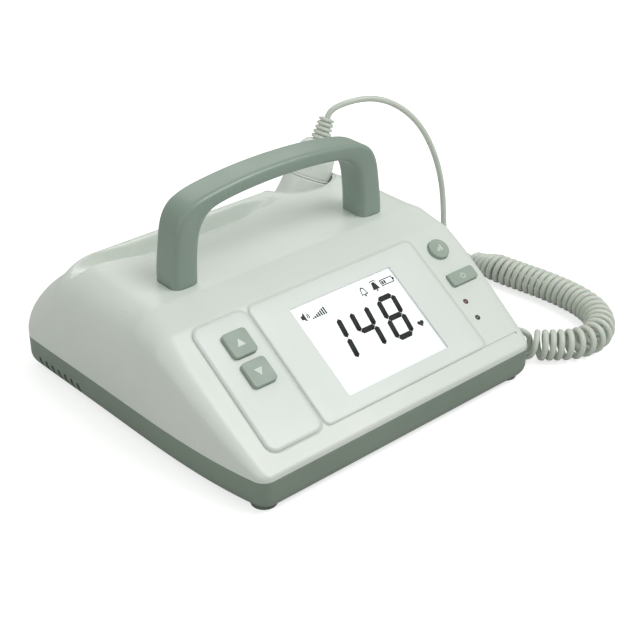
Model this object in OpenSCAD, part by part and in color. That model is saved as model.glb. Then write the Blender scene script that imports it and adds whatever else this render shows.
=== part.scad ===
// Desktop fetal heart monitor: a wedge-shaped console with a carry handle, a display and
// four keys, and a probe that stands in a cup and hangs on a curly cord.
// Millimetres. X runs right, Y to the rear, Z up from the table. The origin lies under the
// middle of the console. Panel sizes use t, the distance up the slope, and n, the height
// above the panel.

/* [Console] */
// Width across the front
front_width = 198; // [180:1:215]
// Width across the rear
rear_width = 224.6; // [205:0.1:240]
// Depth from front to rear
depth = 208; // [195:1:235]
// Height of the seam between the base and the upper housing
seam_height = 20; // [16:0.5:24]
// Height of the deck that carries the handle
deck_height = 78; // [70:0.5:88]
// Wall thickness of both housings
wall = 2.5; // [2:0.1:3.2]
// How far the rubber feet stand out below the base
foot_stand = 2; // [1:0.5:4]
// Diameter of the rubber feet
foot_diameter = 14; // [10:0.5:18]

/* [Front panel] */
// Level run of the sloped panel from the front edge to its crease
panel_run = 76; // [72:1:84]
// Height of the panel above the seam at the front edge
panel_lip = 2.8; // [2:0.1:5]
// Drop from the deck to the crease
band_drop = 6.8; // [4:0.1:9]
// Height of the display plate above the panel
bezel_rise = 0.5; // [0.3:0.1:1.2]
// Height of the key plate above the panel
key_plate_rise = 1.2; // [0.5:0.1:2]

/* [Display] */
// Visible width
lcd_width = 74.3; // [60:0.1:84]
// Visible height
lcd_height = 57.7; // [44:0.1:60]
// Sideways position of the middle
lcd_x = 9.8; // [4:0.1:14]
// Position of the middle up the slope
lcd_t = 48.7; // [46:0.1:52]
// Corner radius of the opening over the display
lcd_corner = 0.6; // [0.4:0.1:2]

/* [Keys] */
// Side of the two square keys
key_size = 15.1; // [12:0.1:16]
// Distance between the middles of the square keys
key_pitch = 18.7; // [17:0.1:20]
// Height of the square keys above their plate
key_rise = 2.5; // [1.6:0.1:3.5]
// Diameter of the round key
round_key_diameter = 13; // [10:0.1:15]
// Width of the power key
power_key_width = 20; // [14:0.1:21]
// Height of the power key
power_key_height = 8.5; // [6:0.1:10]
// Corner radius of the power key
power_key_corner = 1.8; // [1:0.1:3]
// How far each key can be pushed in
key_travel = 1; // [0.6:0.1:1.4]

/* [Handle] */
// Outside width at the deck
handle_span = 150.6; // [130:0.1:156]
// Height above the deck
handle_height = 52.8; // [44:0.1:64]
// Size from front to rear
handle_depth = 19.8; // [15:0.1:24]
// Width of each leg
handle_leg = 15.2; // [11:0.1:18]

/* [Probe and cup] */
// Inside diameter of the cup
cup_diameter = 51; // [49:0.5:55]
// Lean of the standing probe from upright
probe_lean = 25; // [18:1:27]
// Diameter of the probe at the seam ring
neck_diameter = 28.8; // [25:0.1:30]
// Diameter of the widest part of the probe head
head_diameter = 42; // [36:0.5:43]

/* [Cord] */
// Cord thickness
cord_diameter = 3.8; // [3:0.1:4.2]
// Outside diameter of the coil
coil_diameter = 19; // [16:0.5:20]
// Number of curls
coil_turns = 34; // [28:1:35]

/* [Hidden] */
$fn = 48;
fit = 0.1;
key_gap = 0.25;
touch = 0.05;

front_y = -depth / 2;
rear_y = depth / 2;
panel_rise = deck_height - band_drop - seam_height - panel_lip;
panel_slope = atan2(panel_rise, panel_run);
panel_length = norm([panel_run, panel_rise]);
plate_low = 10.4;
plate_high = panel_length - 1.8;

lens_overlap = 1.85;
board_top = -8.8;
board_bottom = -10.4;
flange_top = -wall - touch;
flange_low = flange_top - 1.2;
plunger_top = flange_low - key_travel - touch;

key_x = -67;
down_key_t = 51.8;
up_key_t = down_key_t + key_pitch;
round_key_x = 84.6;
round_key_t = 75.3;
power_key_x = 86.8;
power_key_t = 54.2;
lamp_x = 78;
alarm_t = 39.6;
charge_t = 27.9;

cup_r = cup_diameter / 2;
cup_wall = 1.8;
cup_x = rear_width / 2 - 44.3;
cup_y = rear_y - 32;
cup_base = deck_height - 46;
probe_x = cup_x + cup_r - 12.1;
probe_z = deck_height - 4;

handle_y = front_y + 111;
handle_half = handle_span / 2;

coil_mean = (coil_diameter - cord_diameter) / 2;
socket_y = front_y + 29;
socket_z = 11;

// Half width of the console at a share of its depth
function side_w(f) = front_width / 2 + (rear_width - front_width) / 2 * lookup(f,
  [[0, 0], [0.072, 0.225], [0.149, 0.45], [0.279, 0.652], [0.423, 0.75],
   [0.577, 0.825], [0.721, 0.893], [0.904, 0.976], [1, 1]]);

front_corner = 6;
rear_corner = 9;
right_side = concat(
  [for (a = [-90 : 16 : -10]) [front_width / 2 + 0.4 - front_corner + front_corner * cos(a),
                               front_y + front_corner + front_corner * sin(a)]],
  [for (f = [0.072, 0.149, 0.279, 0.423, 0.577, 0.721, 0.904])
     [side_w(f), front_y + f * depth]],
  [for (a = [0 : 18 : 90]) [rear_width / 2 - rear_corner + rear_corner * cos(a),
                            rear_y - rear_corner + rear_corner * sin(a)]]);
side_count = len(right_side);
plan = concat(right_side,
  [for (i = [side_count - 1 : -1 : 0]) [-right_side[i].x, right_side[i].y]]);
plan_count = len(plan);

socket_x = side_w((socket_y - front_y) / depth);

function unit(v) = v / norm(v);
function turned(v) = [v.y, -v.x];
// Plan outline moved inward along its own normals
function inset_plan(d) = [for (i = [0 : plan_count - 1]) plan[i] - d
  * unit(turned(plan[(i + 1) % plan_count] - plan[(i + plan_count - 1) % plan_count]))];

// Faces of a solid made of equal closed rings, one above the other
function ring_faces(rings, n) = concat(
  [[for (k = [0 : n - 1]) k]],
  [for (j = [0 : rings - 2]) for (k = [0 : n - 1])
     [j * n + k, (j + 1) * n + k, (j + 1) * n + (k + 1) % n]],
  [for (j = [0 : rings - 2]) for (k = [0 : n - 1])
     [j * n + k, (j + 1) * n + (k + 1) % n, j * n + (k + 1) % n]],
  [[for (k = [n - 1 : -1 : 0]) (rings - 1) * n + k]]);

// Side view of the upper housing, scaled from the deck height and depth
function up_z(z) = seam_height + (z - 20) * (deck_height - seam_height) / 58;
function back_y(y) = rear_y - (104 - y);
rear_line = [[103.7, 28], [101.4, 40], [98, 48], [92.5, 54.6], [86, 60], [79, 65],
  [72.5, 70.5], [69.5, 74], [67, 76.6], [64.4, 77.6]];
groove_line = [[62.4, 77.2], [61, 75.6], [59.4, 71], [57.4, 67], [54.5, 64.6], [51.5, 65],
  [49.4, 68], [48, 72], [46.6, 75.4], [44.6, 77.4], [42, 78]];
side_view = concat(
  [[front_y - 5, -5], [rear_y + 1.5, -5], [rear_y + 1.5, up_z(14)]],
  [for (p = concat(rear_line, [[42, 78]])) [back_y(p.x), up_z(p.y)]],
  [[front_y + panel_run + 19, deck_height],
   [front_y + panel_run + 15, deck_height - 0.9],
   [front_y + panel_run, deck_height - band_drop],
   [front_y - 5, seam_height + panel_lip - 5 * tan(panel_slope)]]);

/* Cord routes, hand chosen */
straight_route = [
  [probe_x + 16.2, cup_y, probe_z + 34.75], [probe_x + 18.6, cup_y - 0.4, probe_z + 39.4],
  [108, 69, 116.5], [125, 63, 118.5], [142, 57, 112], [157, 51, 98], [168, 48, 79],
  [176, 46.5, 58], [180, 46, 38], [181, 45.5, 20], [181, 44, 7], [181, 40, 2.1],
  [181, 34.2, 2.1]];
curl_route = [
  [172.5, 8], [172.3, -3], [172, -14], [174.5, -29], [178, -50], [179, -68], [177, -86],
  [169, -101], [156, -109.5], [145, -110.8], [134.5, -107.8], [126, -101.5],
  [119.5, -95.8], [114.8, -91.6], [113.6, -87.3], [114.8, -82.5],
  [117.8, -78.3], [119.2, -76], [118.2, -75.1], [115.8, socket_y], [112.5, socket_y]];
relief_end = 112.5;
lead_length = 20;

// Smooth curve that starts and ends on the first and last point
function spline(p, m) = let (e = len(p) - 1,
    q = concat([2 * p[0] - p[1]], p, [2 * p[e] - p[e - 1]]))
  concat([for (j = [0 : e - 1]) for (k = [0 : m - 1]) let (u = k / m)
    ((1 - u) ^ 3 * q[j] + (3 * u ^ 3 - 6 * u ^ 2 + 4) * q[j + 1]
     + (-3 * u ^ 3 + 3 * u ^ 2 + 3 * u + 1) * q[j + 2] + u ^ 3 * q[j + 3]) / 6], [p[e]]);

// Running sum of a list, starting at nothing
function running(v) = [for (i = 0, s = 0; i <= len(v);
  s = s + (i < len(v) ? v[i] : 0), i = i + 1) s];
function steps(p) = [for (i = [0 : len(p) - 2]) norm(p[i + 1] - p[i])];
function total(v) = len(v) == 0 ? 0 : v * [for (x = v) 1];

// Curl phase grows with the length of the inner edge, so the curls stay apart in a bend
axis_line = spline(curl_route, 12);
axis_steps = steps(axis_line);
axis_at = running(axis_steps);
axis_length = axis_at[len(axis_at) - 1];
function bend(i) = (i == 0 || i == len(axis_steps) - 1) ? 0
  : let (a = axis_line[i] - axis_line[i - 1], b = axis_line[i + 1] - axis_line[i])
    asin(abs(cross(a, b)) / norm(a) / norm(b)) * PI / 180 / norm(b);
inner_at = running([for (i = [0 : len(axis_steps) - 1])
  axis_steps[i] * max(0.2, 1 - coil_mean * bend(i))]);
curl_end = axis_length - lead_length;
inner_end = lookup(curl_end, [for (i = [0 : len(axis_at) - 1]) [axis_at[i], inner_at[i]]]);
length_of_inner = [for (i = [0 : len(axis_at) - 1]) [inner_at[i], axis_at[i]]];
x_of_length = [for (i = [0 : len(axis_at) - 1]) [axis_at[i], axis_line[i].x]];
y_of_length = [for (i = [0 : len(axis_at) - 1]) [axis_at[i], axis_line[i].y]];
function axis_point(s) = [lookup(s, x_of_length), lookup(s, y_of_length)];
function axis_side(s) = unit(turned(-axis_point(max(s - 1.5, 0))
  + axis_point(min(s + 1.5, axis_length))));
function curl_point(s, level, r, phase) = let (c = axis_point(s), w = axis_side(s))
  [c.x + r * cos(phase) * w.x, c.y + r * cos(phase) * w.y, level + r * sin(phase)];
function smooth(u) = (1 - cos(180 * u)) / 2;
// The first curls are smaller and widen to the full coil
function curl_size(s) = coil_mean * (0.62 + 0.38 * smooth(min(s / 24, 1)));
function curl_level(s) = curl_size(s) + cord_diameter / 2 + 0.1;

curl_steps = 8 * coil_turns;
last_phase = -90 + 45 * curl_steps;
// Lead-in, curls and lead-out of the curly cord as one line of points
curl_path = concat(
  [[181, 33.9, 2.1], [181, 30, 2.1], [180.7, 23, 2.1]],
  [for (a = [-10, -32, -54, -74]) [172.5 + 7.3 * cos(a), 15.3 + 7.3 * sin(a), 2.1]],
  [for (i = [0 : curl_steps]) let (s = lookup(inner_end * i / curl_steps, length_of_inner))
    curl_point(s, curl_level(s), curl_size(s), -90 + 45 * i)],
  [for (i = [1 : 8]) let (u = i / 8)
    curl_point(curl_end + (lead_length - cord_diameter) * u,
               curl_level(curl_end) + (socket_z - curl_level(curl_end)) * smooth(u),
               coil_mean * (1 - smooth(u)), last_phase + 36 * i)],
  [[relief_end + 0.3, socket_y, socket_z]]);
straight_path = spline(straight_route, 2);

function tangents(p) = let (e = len(p) - 1)
  [for (i = [0 : e]) unit(p[min(i + 1, e)] - p[max(i - 1, 0)])];
function square_to(u, t) = unit(u - (u * t) * t);
function carried(t) = [for (i = 0, u = square_to([0.31, 0.2, 0.93], t[0]); i < len(t);
  u = square_to(u, t[min(i + 1, len(t) - 1)]), i = i + 1) u];
function tube_points(p, r, n) = let (t = tangents(p), e = carried(t))
  [for (i = [0 : len(p) - 1]) let (f = cross(t[i], e[i])) for (k = [0 : n - 1])
    p[i] + r * (cos(360 * k / n) * e[i] + sin(360 * k / n) * f)];
function least_gap(p) = min([for (i = [0 : len(p) - 6])
  min([for (j = [i + 5 : len(p) - 1]) norm(p[i] - p[j])])]) - cord_diameter;

module tube(p, r, n) {
  polyhedron(points = tube_points(p, r, n), faces = ring_faces(len(p), n));
}

module on_panel() {
  translate([0, front_y, seam_height + panel_lip])
    rotate([panel_slope, 0, 0])
      children();
}

module at_panel(x, t, n) {
  on_panel()
    translate([x, t, n])
      children();
}

module round_rect(w, h, r) {
  square([w - 2 * r, h], center = true);
  square([w, h - 2 * r], center = true);
  for (sx = [-1, 1])
    for (sy = [-1, 1])
      translate([sx * (w / 2 - r), sy * (h / 2 - r)])
        circle(r = r);
}

module plate(w, h, r, low, high) {
  translate([0, 0, low])
    linear_extrude(high - low)
      round_rect(w, h, r);
}

module block(x0, x1, y0, y1, z0, z1) {
  translate([x0, y0, z0])
    cube([x1 - x0, y1 - y0, z1 - z0]);
}

shoulder = [[118, -300], [118, -60], [113, -36], [109.5, -22], [106.5, -15.5], [103, -10.4],
  [99, -6.4], [94, -3.4], [88, -0.9], [80, 1.6], [70, 4]];

// The body of the upper housing, moved inward by o
module body(o) {
  top_r = 24.5;
  top_x = rear_width / 2 + 0.3 - top_r;
  edge_r = 10;
  edge_x = front_width / 2 - 1;
  intersection() {
    translate([0, 0, o > 0 ? seam_height - 1 : seam_height])
      linear_extrude(deck_height)
        polygon(inset_plan(o));
    rotate([90, 0, 90])
      linear_extrude(rear_width + 20, center = true)
        offset(delta = -o)
          polygon(side_view);
    rotate([90, 0, 0])
      linear_extrude(depth + 40, center = true)
        polygon(concat(
          [for (a = [0 : 9 : 90]) [top_x + (top_r - o) * cos(a),
                                   deck_height - top_r + (top_r - o) * sin(a)]],
          [[top_x - 8, deck_height - o + 0.6], [8 - top_x, deck_height - o + 0.6]],
          [for (a = [90 : 9 : 180]) [-top_x + (top_r - o) * cos(a),
                                     deck_height - top_r + (top_r - o) * sin(a)]],
          [[-top_x - top_r + o, -5], [top_x + top_r - o, -5]]));
    translate([0, rear_y - 43, deck_height])
      rotate([83.5, 0, 0])
        linear_extrude(600, center = true)
          polygon(concat(
            [for (p = shoulder) [(rear_width / 2 - 112.3) + p.x, p.y - o]],
            [for (i = [len(shoulder) - 1 : -1 : 0])
              [112.3 - rear_width / 2 - shoulder[i].x, shoulder[i].y - o]]));
    on_panel()
      rotate([90, 0, 0])
        linear_extrude(600, center = true)
          polygon(concat(
            [[edge_x + edge_r + 12 - o, -300], [edge_x + edge_r + 12 - o, -30]],
            [for (a = [0 : 15 : 90]) [edge_x + (edge_r - o) * cos(a),
                                      -edge_r + (edge_r - o) * sin(a)]],
            [[edge_x - 6, 0.4 - o], [6 - edge_x, 0.4 - o]],
            [for (a = [90 : 15 : 180]) [-edge_x + (edge_r - o) * cos(a),
                                        -edge_r + (edge_r - o) * sin(a)]],
            [[-edge_x - edge_r - 12 + o, -30], [-edge_x - edge_r - 12 + o, -300]]));
  }
}

groove_left = -62;
groove_right = cup_x - cup_r - 32.5;
groove_floor = up_z(64.6);

// A straight length of the groove behind the deck, grown outward by d
module trough(x0, x1, d) {
  translate([x0, 0, 0])
    rotate([90, 0, 90])
      linear_extrude(x1 - x0)
        offset(delta = d)
          polygon(concat([for (p = concat([[64.4, 77.6]], groove_line))
                            [back_y(p.x), up_z(p.y)]],
                         [[back_y(42), deck_height + 20],
                          [back_y(64.4), deck_height + 20]]));
}

// The whole groove: level in the middle, rising to the deck at the right and running out
// over the shoulder at the left
module groove(d) {
  trough(groove_left, groove_right, d);
  intersection() {
    translate([groove_right, 0, groove_floor])
      rotate([0, -24, 0])
        translate([0, 0, -groove_floor])
          trough(-5, 60, d);
    block(groove_right - 0.1, rear_width, -depth, depth, 0, deck_height + 60);
  }
  intersection() {
    translate([groove_left, back_y(42), groove_floor])
      rotate([0, 9.5, -10])
        translate([0, -back_y(42), -groove_floor])
          trough(-80, 5, d);
    block(-rear_width, groove_left + 0.1, -depth, depth, 0, deck_height + 60);
  }
}

case_posts = [for (s = [-1, 1]) for (f = [0.202, 0.64])
  [s * (side_w(f) - wall - 4.1), front_y + f * depth]];
board_posts = [[-42, 17], [-42, panel_length - 8.5], [64, 17], [64, panel_length - 8.5]];
key_board_posts = [[key_x - 13, down_key_t + key_pitch / 2],
                   [key_x + 13, down_key_t + key_pitch / 2]];

module probe_axis() {
  translate([probe_x, cup_y, probe_z])
    rotate([0, probe_lean, 0])
      children();
}

module key_holes(d) {
  for (t = [down_key_t, up_key_t])
    at_panel(key_x, t, 0)
      plate(key_size + 2 * d, key_size + 2 * d, 2.5 + d, -6, 6);
}

module lamp_holes() {
  for (t = [alarm_t, charge_t])
    at_panel(lamp_x, t, -6)
      cylinder(r = 1.7, h = 12);
}

bezel_width = 120;
bezel_x = 10.3;
key_plate_width = 35.8;
key_plate_x = -69.3;
plate_height = plate_high - plate_low;
plate_mid = (plate_high + plate_low) / 2;

module upper_housing() {
  color([0.86, 0.88, 0.86])
    difference() {
      union() {
        difference() {
          body(0);
          difference() {
            body(wall);
            groove(wall);
          }
          groove(0);
        }
        intersection() {
          body(0);
          translate([cup_x, cup_y, cup_base - 2])
            cylinder(r = cup_r + 4.2, h = 80);
        }
        for (s = [-1, 1])
          block(s * (handle_half - handle_leg / 2) - 9, s * (handle_half - handle_leg / 2) + 9,
                handle_y - 11, handle_y + 11, deck_height - 14, deck_height - 1);
        for (p = case_posts)
          translate([p.x, p.y, seam_height])
            cylinder(r = 4.5, h = 18);
        for (p = concat(board_posts, key_board_posts))
          at_panel(p.x, p.y, board_top)
            cylinder(r = 2.5, h = -board_top - wall + 0.5);
      }
      translate([cup_x, cup_y, cup_base])
        cylinder(r = cup_r + cup_wall + fit, h = 100);
      translate([cup_x, cup_y, cup_base - 6])
        cylinder(r = cup_r - 5, h = 20);
      probe_axis()
        translate([0, 0, -12])
          cylinder(r = neck_diameter / 2 + 0.8, h = 70);
      for (s = [-1, 1]) {
        translate([s * (handle_half - handle_leg / 2), handle_y, 0])
          plate(handle_leg - 2, handle_depth - 3, 3, deck_height - 10.2, deck_height + 5);
        translate([s * (handle_half - handle_leg / 2), handle_y, deck_height - 20])
          cylinder(r = 2.1, h = 20);
      }
      for (p = case_posts)
        translate([p.x, p.y, seam_height - 1])
          cylinder(r = 1.25, h = 14);
      for (p = concat(board_posts, key_board_posts))
        at_panel(p.x, p.y, board_top - 1)
          cylinder(r = 1, h = 6);
      at_panel(bezel_x, plate_mid, -1)
        plate(bezel_width + 2 * fit, plate_height + 2 * fit, 4 + fit, 0, 6);
      at_panel(key_plate_x, plate_mid, -1)
        plate(key_plate_width + 2 * fit, plate_height + 2 * fit, 6 + fit, 0, 6);
      at_panel(lcd_x, lcd_t, -6)
        plate(lcd_width + 2 * lens_overlap + 0.3, lcd_height + 2 * lens_overlap + 0.3, 2.2,
              0, 12);
      at_panel(0, 0, 0)
        block(bezel_x - bezel_width / 2, 95, plate_low - 0.8, plate_low, -0.5, 3);
      key_holes(key_gap);
      lamp_holes();
      at_panel(round_key_x, round_key_t, -6)
        cylinder(d = round_key_diameter + 2 * fit, h = 12);
      at_panel(power_key_x, power_key_t, 0)
        plate(power_key_width + 2 * key_gap, power_key_height + 2 * key_gap,
              power_key_corner + key_gap, -6, 6);
    }
}

battery_x = -5;
battery_y = 36;
cover_width = 70;
cover_depth = 60;
vent_count = 7;

module base_housing() {
  levels = [for (k = [0 : 5]) [foot_stand + 7 * (1 - cos(18 * k)), 5 * (1 - sin(18 * k))]];
  stack = concat(levels, [[seam_height, 0]]);
  color([0.49, 0.54, 0.5])
    difference() {
      union() {
        difference() {
          polyhedron(
            points = [for (l = stack) for (p = inset_plan(l[1])) [p.x, p.y, l[0]]],
            faces = ring_faces(len(stack), plan_count));
          translate([0, 0, foot_stand + wall])
            linear_extrude(6)
              polygon(inset_plan(5.4));
          translate([0, 0, foot_stand + 8])
            linear_extrude(30)
              polygon(inset_plan(wall));
        }
        for (p = case_posts)
          translate([p.x, p.y, foot_stand + 1])
            cylinder(r = 4.5, h = seam_height - foot_stand - 1);
        translate([battery_x, battery_y + 29, foot_stand + 1])
          cylinder(r = 4, h = 10);
      }
      for (p = case_posts) {
        translate([p.x, p.y, 0])
          cylinder(r = 1.6, h = 40);
        translate([p.x, p.y, 0])
          cylinder(r = 3.2, h = 8);
      }
      translate([battery_x, battery_y + 4, 0])
        plate(cover_width + 0.4, cover_depth + 8.4, 3.2, 0, foot_stand + 1.5);
      translate([battery_x, battery_y, 0])
        plate(cover_width - 6, 46, 2, 0, 12);
      translate([battery_x, battery_y + 29, 0])
        cylinder(r = 1.25, h = 10);
      for (p = feet)
        translate([p.x, p.y, 0])
          cylinder(r = foot_diameter / 2 + 0.1, h = foot_stand + 1);
      for (i = [0 : vent_count - 1])
        translate([0, front_y + 152.1 + 6.4 * i, foot_stand + 5.6])
          rotate([-22, 0, 0])
            block(-rear_width / 2 - 5, -side_w(0.8) + 7, -1.1, 1.1, -3, 3);
      for (ring = [0 : 2])
        for (k = [0 : max(6 * ring - 1, 0)])
          translate([speaker_x + 5.5 * ring * cos(60 * k / max(ring, 1)),
                     speaker_y + 5.5 * ring * sin(60 * k / max(ring, 1)), 0])
            cylinder(r = 1.3, h = 12);
      translate([socket_x - 12, socket_y, socket_z])
        rotate([0, 90, 0])
          cylinder(r = 6.1, h = 30);
      for (x = [power_x, phone_x])
        translate([x, rear_y - 10, socket_z])
          rotate([-90, 0, 0])
            cylinder(r = 4.1, h = 30);
    }
}

feet = [[side_w(0.05) - 11, front_y + 11], [10.5 - side_w(0.05), front_y + 11],
        [side_w(0.92) - 14, rear_y - 15], [14 - side_w(0.92), rear_y - 15]];
speaker_x = -60;
speaker_y = -30;
power_x = -55;
phone_x = -78;

module foot(p) {
  color([0.2, 0.21, 0.2])
    translate([p.x, p.y, 0])
      cylinder(r = foot_diameter / 2, h = foot_stand + 1);
}

module foot_front_right() {
  foot(feet[0]);
}

module foot_front_left() {
  foot(feet[1]);
}

module foot_rear_right() {
  foot(feet[2]);
}

module foot_rear_left() {
  foot(feet[3]);
}

module display_bezel() {
  color([0.88, 0.9, 0.88])
    difference() {
      at_panel(bezel_x, plate_mid, 0)
        plate(bezel_width, plate_height, 4, -1, bezel_rise);
      at_panel(lcd_x, lcd_t, 0)
        plate(lcd_width, lcd_height, lcd_corner, -6, 6);
    }
}

module key_panel() {
  color([0.86, 0.88, 0.86])
    difference() {
      at_panel(key_plate_x, plate_mid, 0)
        plate(key_plate_width, plate_height, 6, -1, key_plate_rise);
      key_holes(key_gap);
    }
}

module display_window() {
  color([0.93, 0.96, 0.98, 0.6])
    at_panel(lcd_x, lcd_t, 0)
      plate(lcd_width - fit, lcd_height - fit, lcd_corner, -1, bezel_rise - 0.3);
}

module lcd_glass() {
  color([0.95, 0.97, 1])
    at_panel(lcd_x, lcd_t, 0)
      plate(lcd_width + 2 * lens_overlap, lcd_height + 2 * lens_overlap, 2, -5.3, -1);
}

module lcd_backlight() {
  color([0.96, 0.96, 0.92])
    at_panel(lcd_x, lcd_t, 0)
      block(-lcd_width / 2 - 2.9, lcd_width / 2 + 2.9, -lcd_height / 2 - 3.1,
            lcd_height / 2 + 3.1, board_top, -5.3);
}

module main_board() {
  color([0.1, 0.36, 0.2])
    difference() {
      on_panel()
        block(-47, 94, 13, panel_length - 5, board_bottom, board_top);
      for (p = board_posts)
        at_panel(p.x, p.y, board_bottom - 1)
          cylinder(r = 1.1, h = 6);
    }
}

module key_board() {
  color([0.1, 0.36, 0.2])
    difference() {
      on_panel()
        block(key_x - 16, key_x + 16, down_key_t - 10, up_key_t + 10, board_bottom, board_top);
      for (p = key_board_posts)
        at_panel(p.x, p.y, board_bottom - 1)
          cylinder(r = 1.1, h = 6);
    }
}

module board_screws() {
  color([0.7, 0.71, 0.73])
    for (p = concat(board_posts, key_board_posts)) {
      at_panel(p.x, p.y, board_bottom)
        cylinder(r = 0.95, h = 6);
      at_panel(p.x, p.y, board_bottom - 1.5)
        cylinder(r = 2, h = 1.5);
    }
}

// A key: its cap, and a flange that meets the housing from inside
module key_solid(w, h, r, rise) {
  plate(w, h, r, flange_top - 0.4, rise);
  plate(w + 3, h + 3, r + 1, flange_low, flange_top);
}

module up_key() {
  color([0.52, 0.58, 0.54])
    at_panel(key_x, up_key_t, 0)
      key_solid(key_size, key_size, 2.5, key_plate_rise + key_rise);
}

module down_key() {
  color([0.52, 0.58, 0.54])
    at_panel(key_x, down_key_t, 0)
      key_solid(key_size, key_size, 2.5, key_plate_rise + key_rise);
}

module mode_key() {
  color([0.52, 0.58, 0.54])
    at_panel(round_key_x, round_key_t, 0) {
      translate([0, 0, flange_low])
        cylinder(d = round_key_diameter, h = 2.2 - flange_low);
      translate([0, 0, flange_low])
        cylinder(d = round_key_diameter + 3, h = 1.2);
    }
}

module power_key() {
  color([0.52, 0.58, 0.54])
    at_panel(power_key_x, power_key_t, 0)
      key_solid(power_key_width, power_key_height, power_key_corner, 2);
}

module switch_at(x, t) {
  at_panel(x, t, 0)
    block(-3, 3, -3, 3, board_top, -5.6);
  at_panel(x, t, -5.6)
    cylinder(r = 1.75, h = plunger_top + 5.6);
}

module left_switches() {
  color([0.15, 0.15, 0.16]) {
    switch_at(key_x, down_key_t);
    switch_at(key_x, up_key_t);
  }
}

module right_switches() {
  color([0.15, 0.15, 0.16]) {
    switch_at(round_key_x, round_key_t);
    switch_at(power_key_x, power_key_t);
  }
}

module lamp(t) {
  at_panel(lamp_x, t, board_top)
    cylinder(r = 2.3, h = 1);
  at_panel(lamp_x, t, board_top)
    cylinder(r = 1.5, h = -board_top + 0.2);
}

module alarm_lamp() {
  color([0.55, 0.2, 0.18])
    lamp(alarm_t);
}

module charge_lamp() {
  color([0.15, 0.35, 0.25])
    lamp(charge_t);
}

module speaker() {
  color([0.12, 0.12, 0.13])
    translate([speaker_x, speaker_y, foot_stand + wall]) {
      cylinder(r = 18, h = 3);
      translate([0, 0, 3])
        cylinder(r1 = 17, r2 = 9, h = 5);
      translate([0, 0, 8])
        cylinder(r = 9, h = 4);
    }
}

module battery_pack() {
  color([0.2, 0.3, 0.55])
    translate([battery_x, battery_y, 0])
      plate(cover_width - 8, 44, 2, foot_stand + 1.5, foot_stand + 14);
}

module battery_cover() {
  color([0.49, 0.54, 0.5])
    difference() {
      translate([battery_x, battery_y + 4, 0])
        plate(cover_width, cover_depth + 8, 3, foot_stand, foot_stand + 1.5);
      translate([battery_x, battery_y + 29, 0])
        cylinder(r = 1.6, h = 10);
      translate([battery_x, battery_y + 29, 0])
        cylinder(r = 3.1, h = foot_stand + 0.8);
    }
}

module cover_screw() {
  color([0.7, 0.71, 0.73])
    translate([battery_x, battery_y + 29, foot_stand]) {
      cylinder(r = 3, h = 0.8);
      cylinder(r = 1.2, h = 7);
    }
}

module case_screws() {
  color([0.7, 0.71, 0.73])
    for (p = case_posts)
      translate([p.x, p.y, 0]) {
        translate([0, 0, 5.6])
          cylinder(r = 3, h = 2.4);
        translate([0, 0, 5.6])
          cylinder(r = 1.2, h = seam_height + 6);
      }
}

handle_outer = [[1, 0], [0.996, 0.152], [0.975, 0.379], [0.956, 0.56], [0.926, 0.70],
  [0.87, 0.812], [0.785, 0.877], [0.688, 0.916], [0.55, 0.948], [0.35, 0.98],
  [0.17, 0.995], [0, 1]];
handle_inner = [[0, 44], [15, 43.6], [30, 42.6], [42, 41], [48.8, 38.8], [53.4, 34.8],
  [56.4, 29.5], [58, 22], [59, 12], [59.5, 0]];

module carry_handle() {
  outer = [for (p = handle_outer) [p.x * handle_half, deck_height + p.y * handle_height]];
  drop = handle_height - 52.8;
  shift = handle_half - handle_leg - 59.5;
  inner = [for (p = handle_inner)
    [p.x == 0 ? 0 : p.x + shift, deck_height + p.y + (p.y > 20 ? drop : 0)]];
  arch = concat(outer, [for (i = [len(outer) - 2 : -1 : 0]) [-outer[i].x, outer[i].y]],
    [for (i = [len(inner) - 1 : -1 : 0]) [-inner[i].x, inner[i].y]],
    [for (i = [1 : len(inner) - 1]) inner[i]]);
  color([0.55, 0.61, 0.57])
    difference() {
      union() {
        intersection() {
          translate([0, handle_y, 0])
            rotate([90, 0, 0])
              linear_extrude(handle_depth, center = true)
                polygon(arch);
          translate([0, handle_y, deck_height + handle_height - 60])
            rotate([90, 0, 90])
              linear_extrude(handle_span + 20, center = true)
                translate([0, 30])
                  round_rect(handle_depth, 60, 5);
        }
        for (s = [-1, 1])
          translate([s * (handle_half - handle_leg / 2), handle_y, 0])
            plate(handle_leg - 2 - 2 * fit, handle_depth - 3 - 2 * fit, 2.9,
                  deck_height - 10.2, deck_height + 2);
      }
      for (s = [-1, 1])
        translate([s * (handle_half - handle_leg / 2), handle_y, deck_height - 11])
          cylinder(r = 2.05, h = 12);
    }
}

module handle_screws() {
  color([0.7, 0.71, 0.73])
    for (s = [-1, 1])
      translate([s * (handle_half - handle_leg / 2), handle_y, 0]) {
        translate([0, 0, deck_height - 17])
          cylinder(r = 4, h = 3);
        translate([0, 0, deck_height - 14.5])
          cylinder(r = 2, h = 14.5);
      }
}

module probe_cup() {
  color([0.8, 0.83, 0.8])
    difference() {
      intersection() {
        body(0.4);
        translate([cup_x, cup_y, cup_base])
          cylinder(r = cup_r + cup_wall, h = 80);
      }
      translate([cup_x, cup_y, cup_base + 2])
        cylinder(r = cup_r, h = 100);
      probe_axis()
        translate([0, 0, -12])
          cylinder(r = neck_diameter / 2 + 0.8, h = 70);
    }
}

module cup_pad() {
  color([0.3, 0.32, 0.31])
    translate([cup_x, cup_y, cup_base + 2])
      cylinder(r = cup_r - 0.3, h = 1.9);
}

neck_r = neck_diameter / 2;
head_r = head_diameter / 2;

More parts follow.
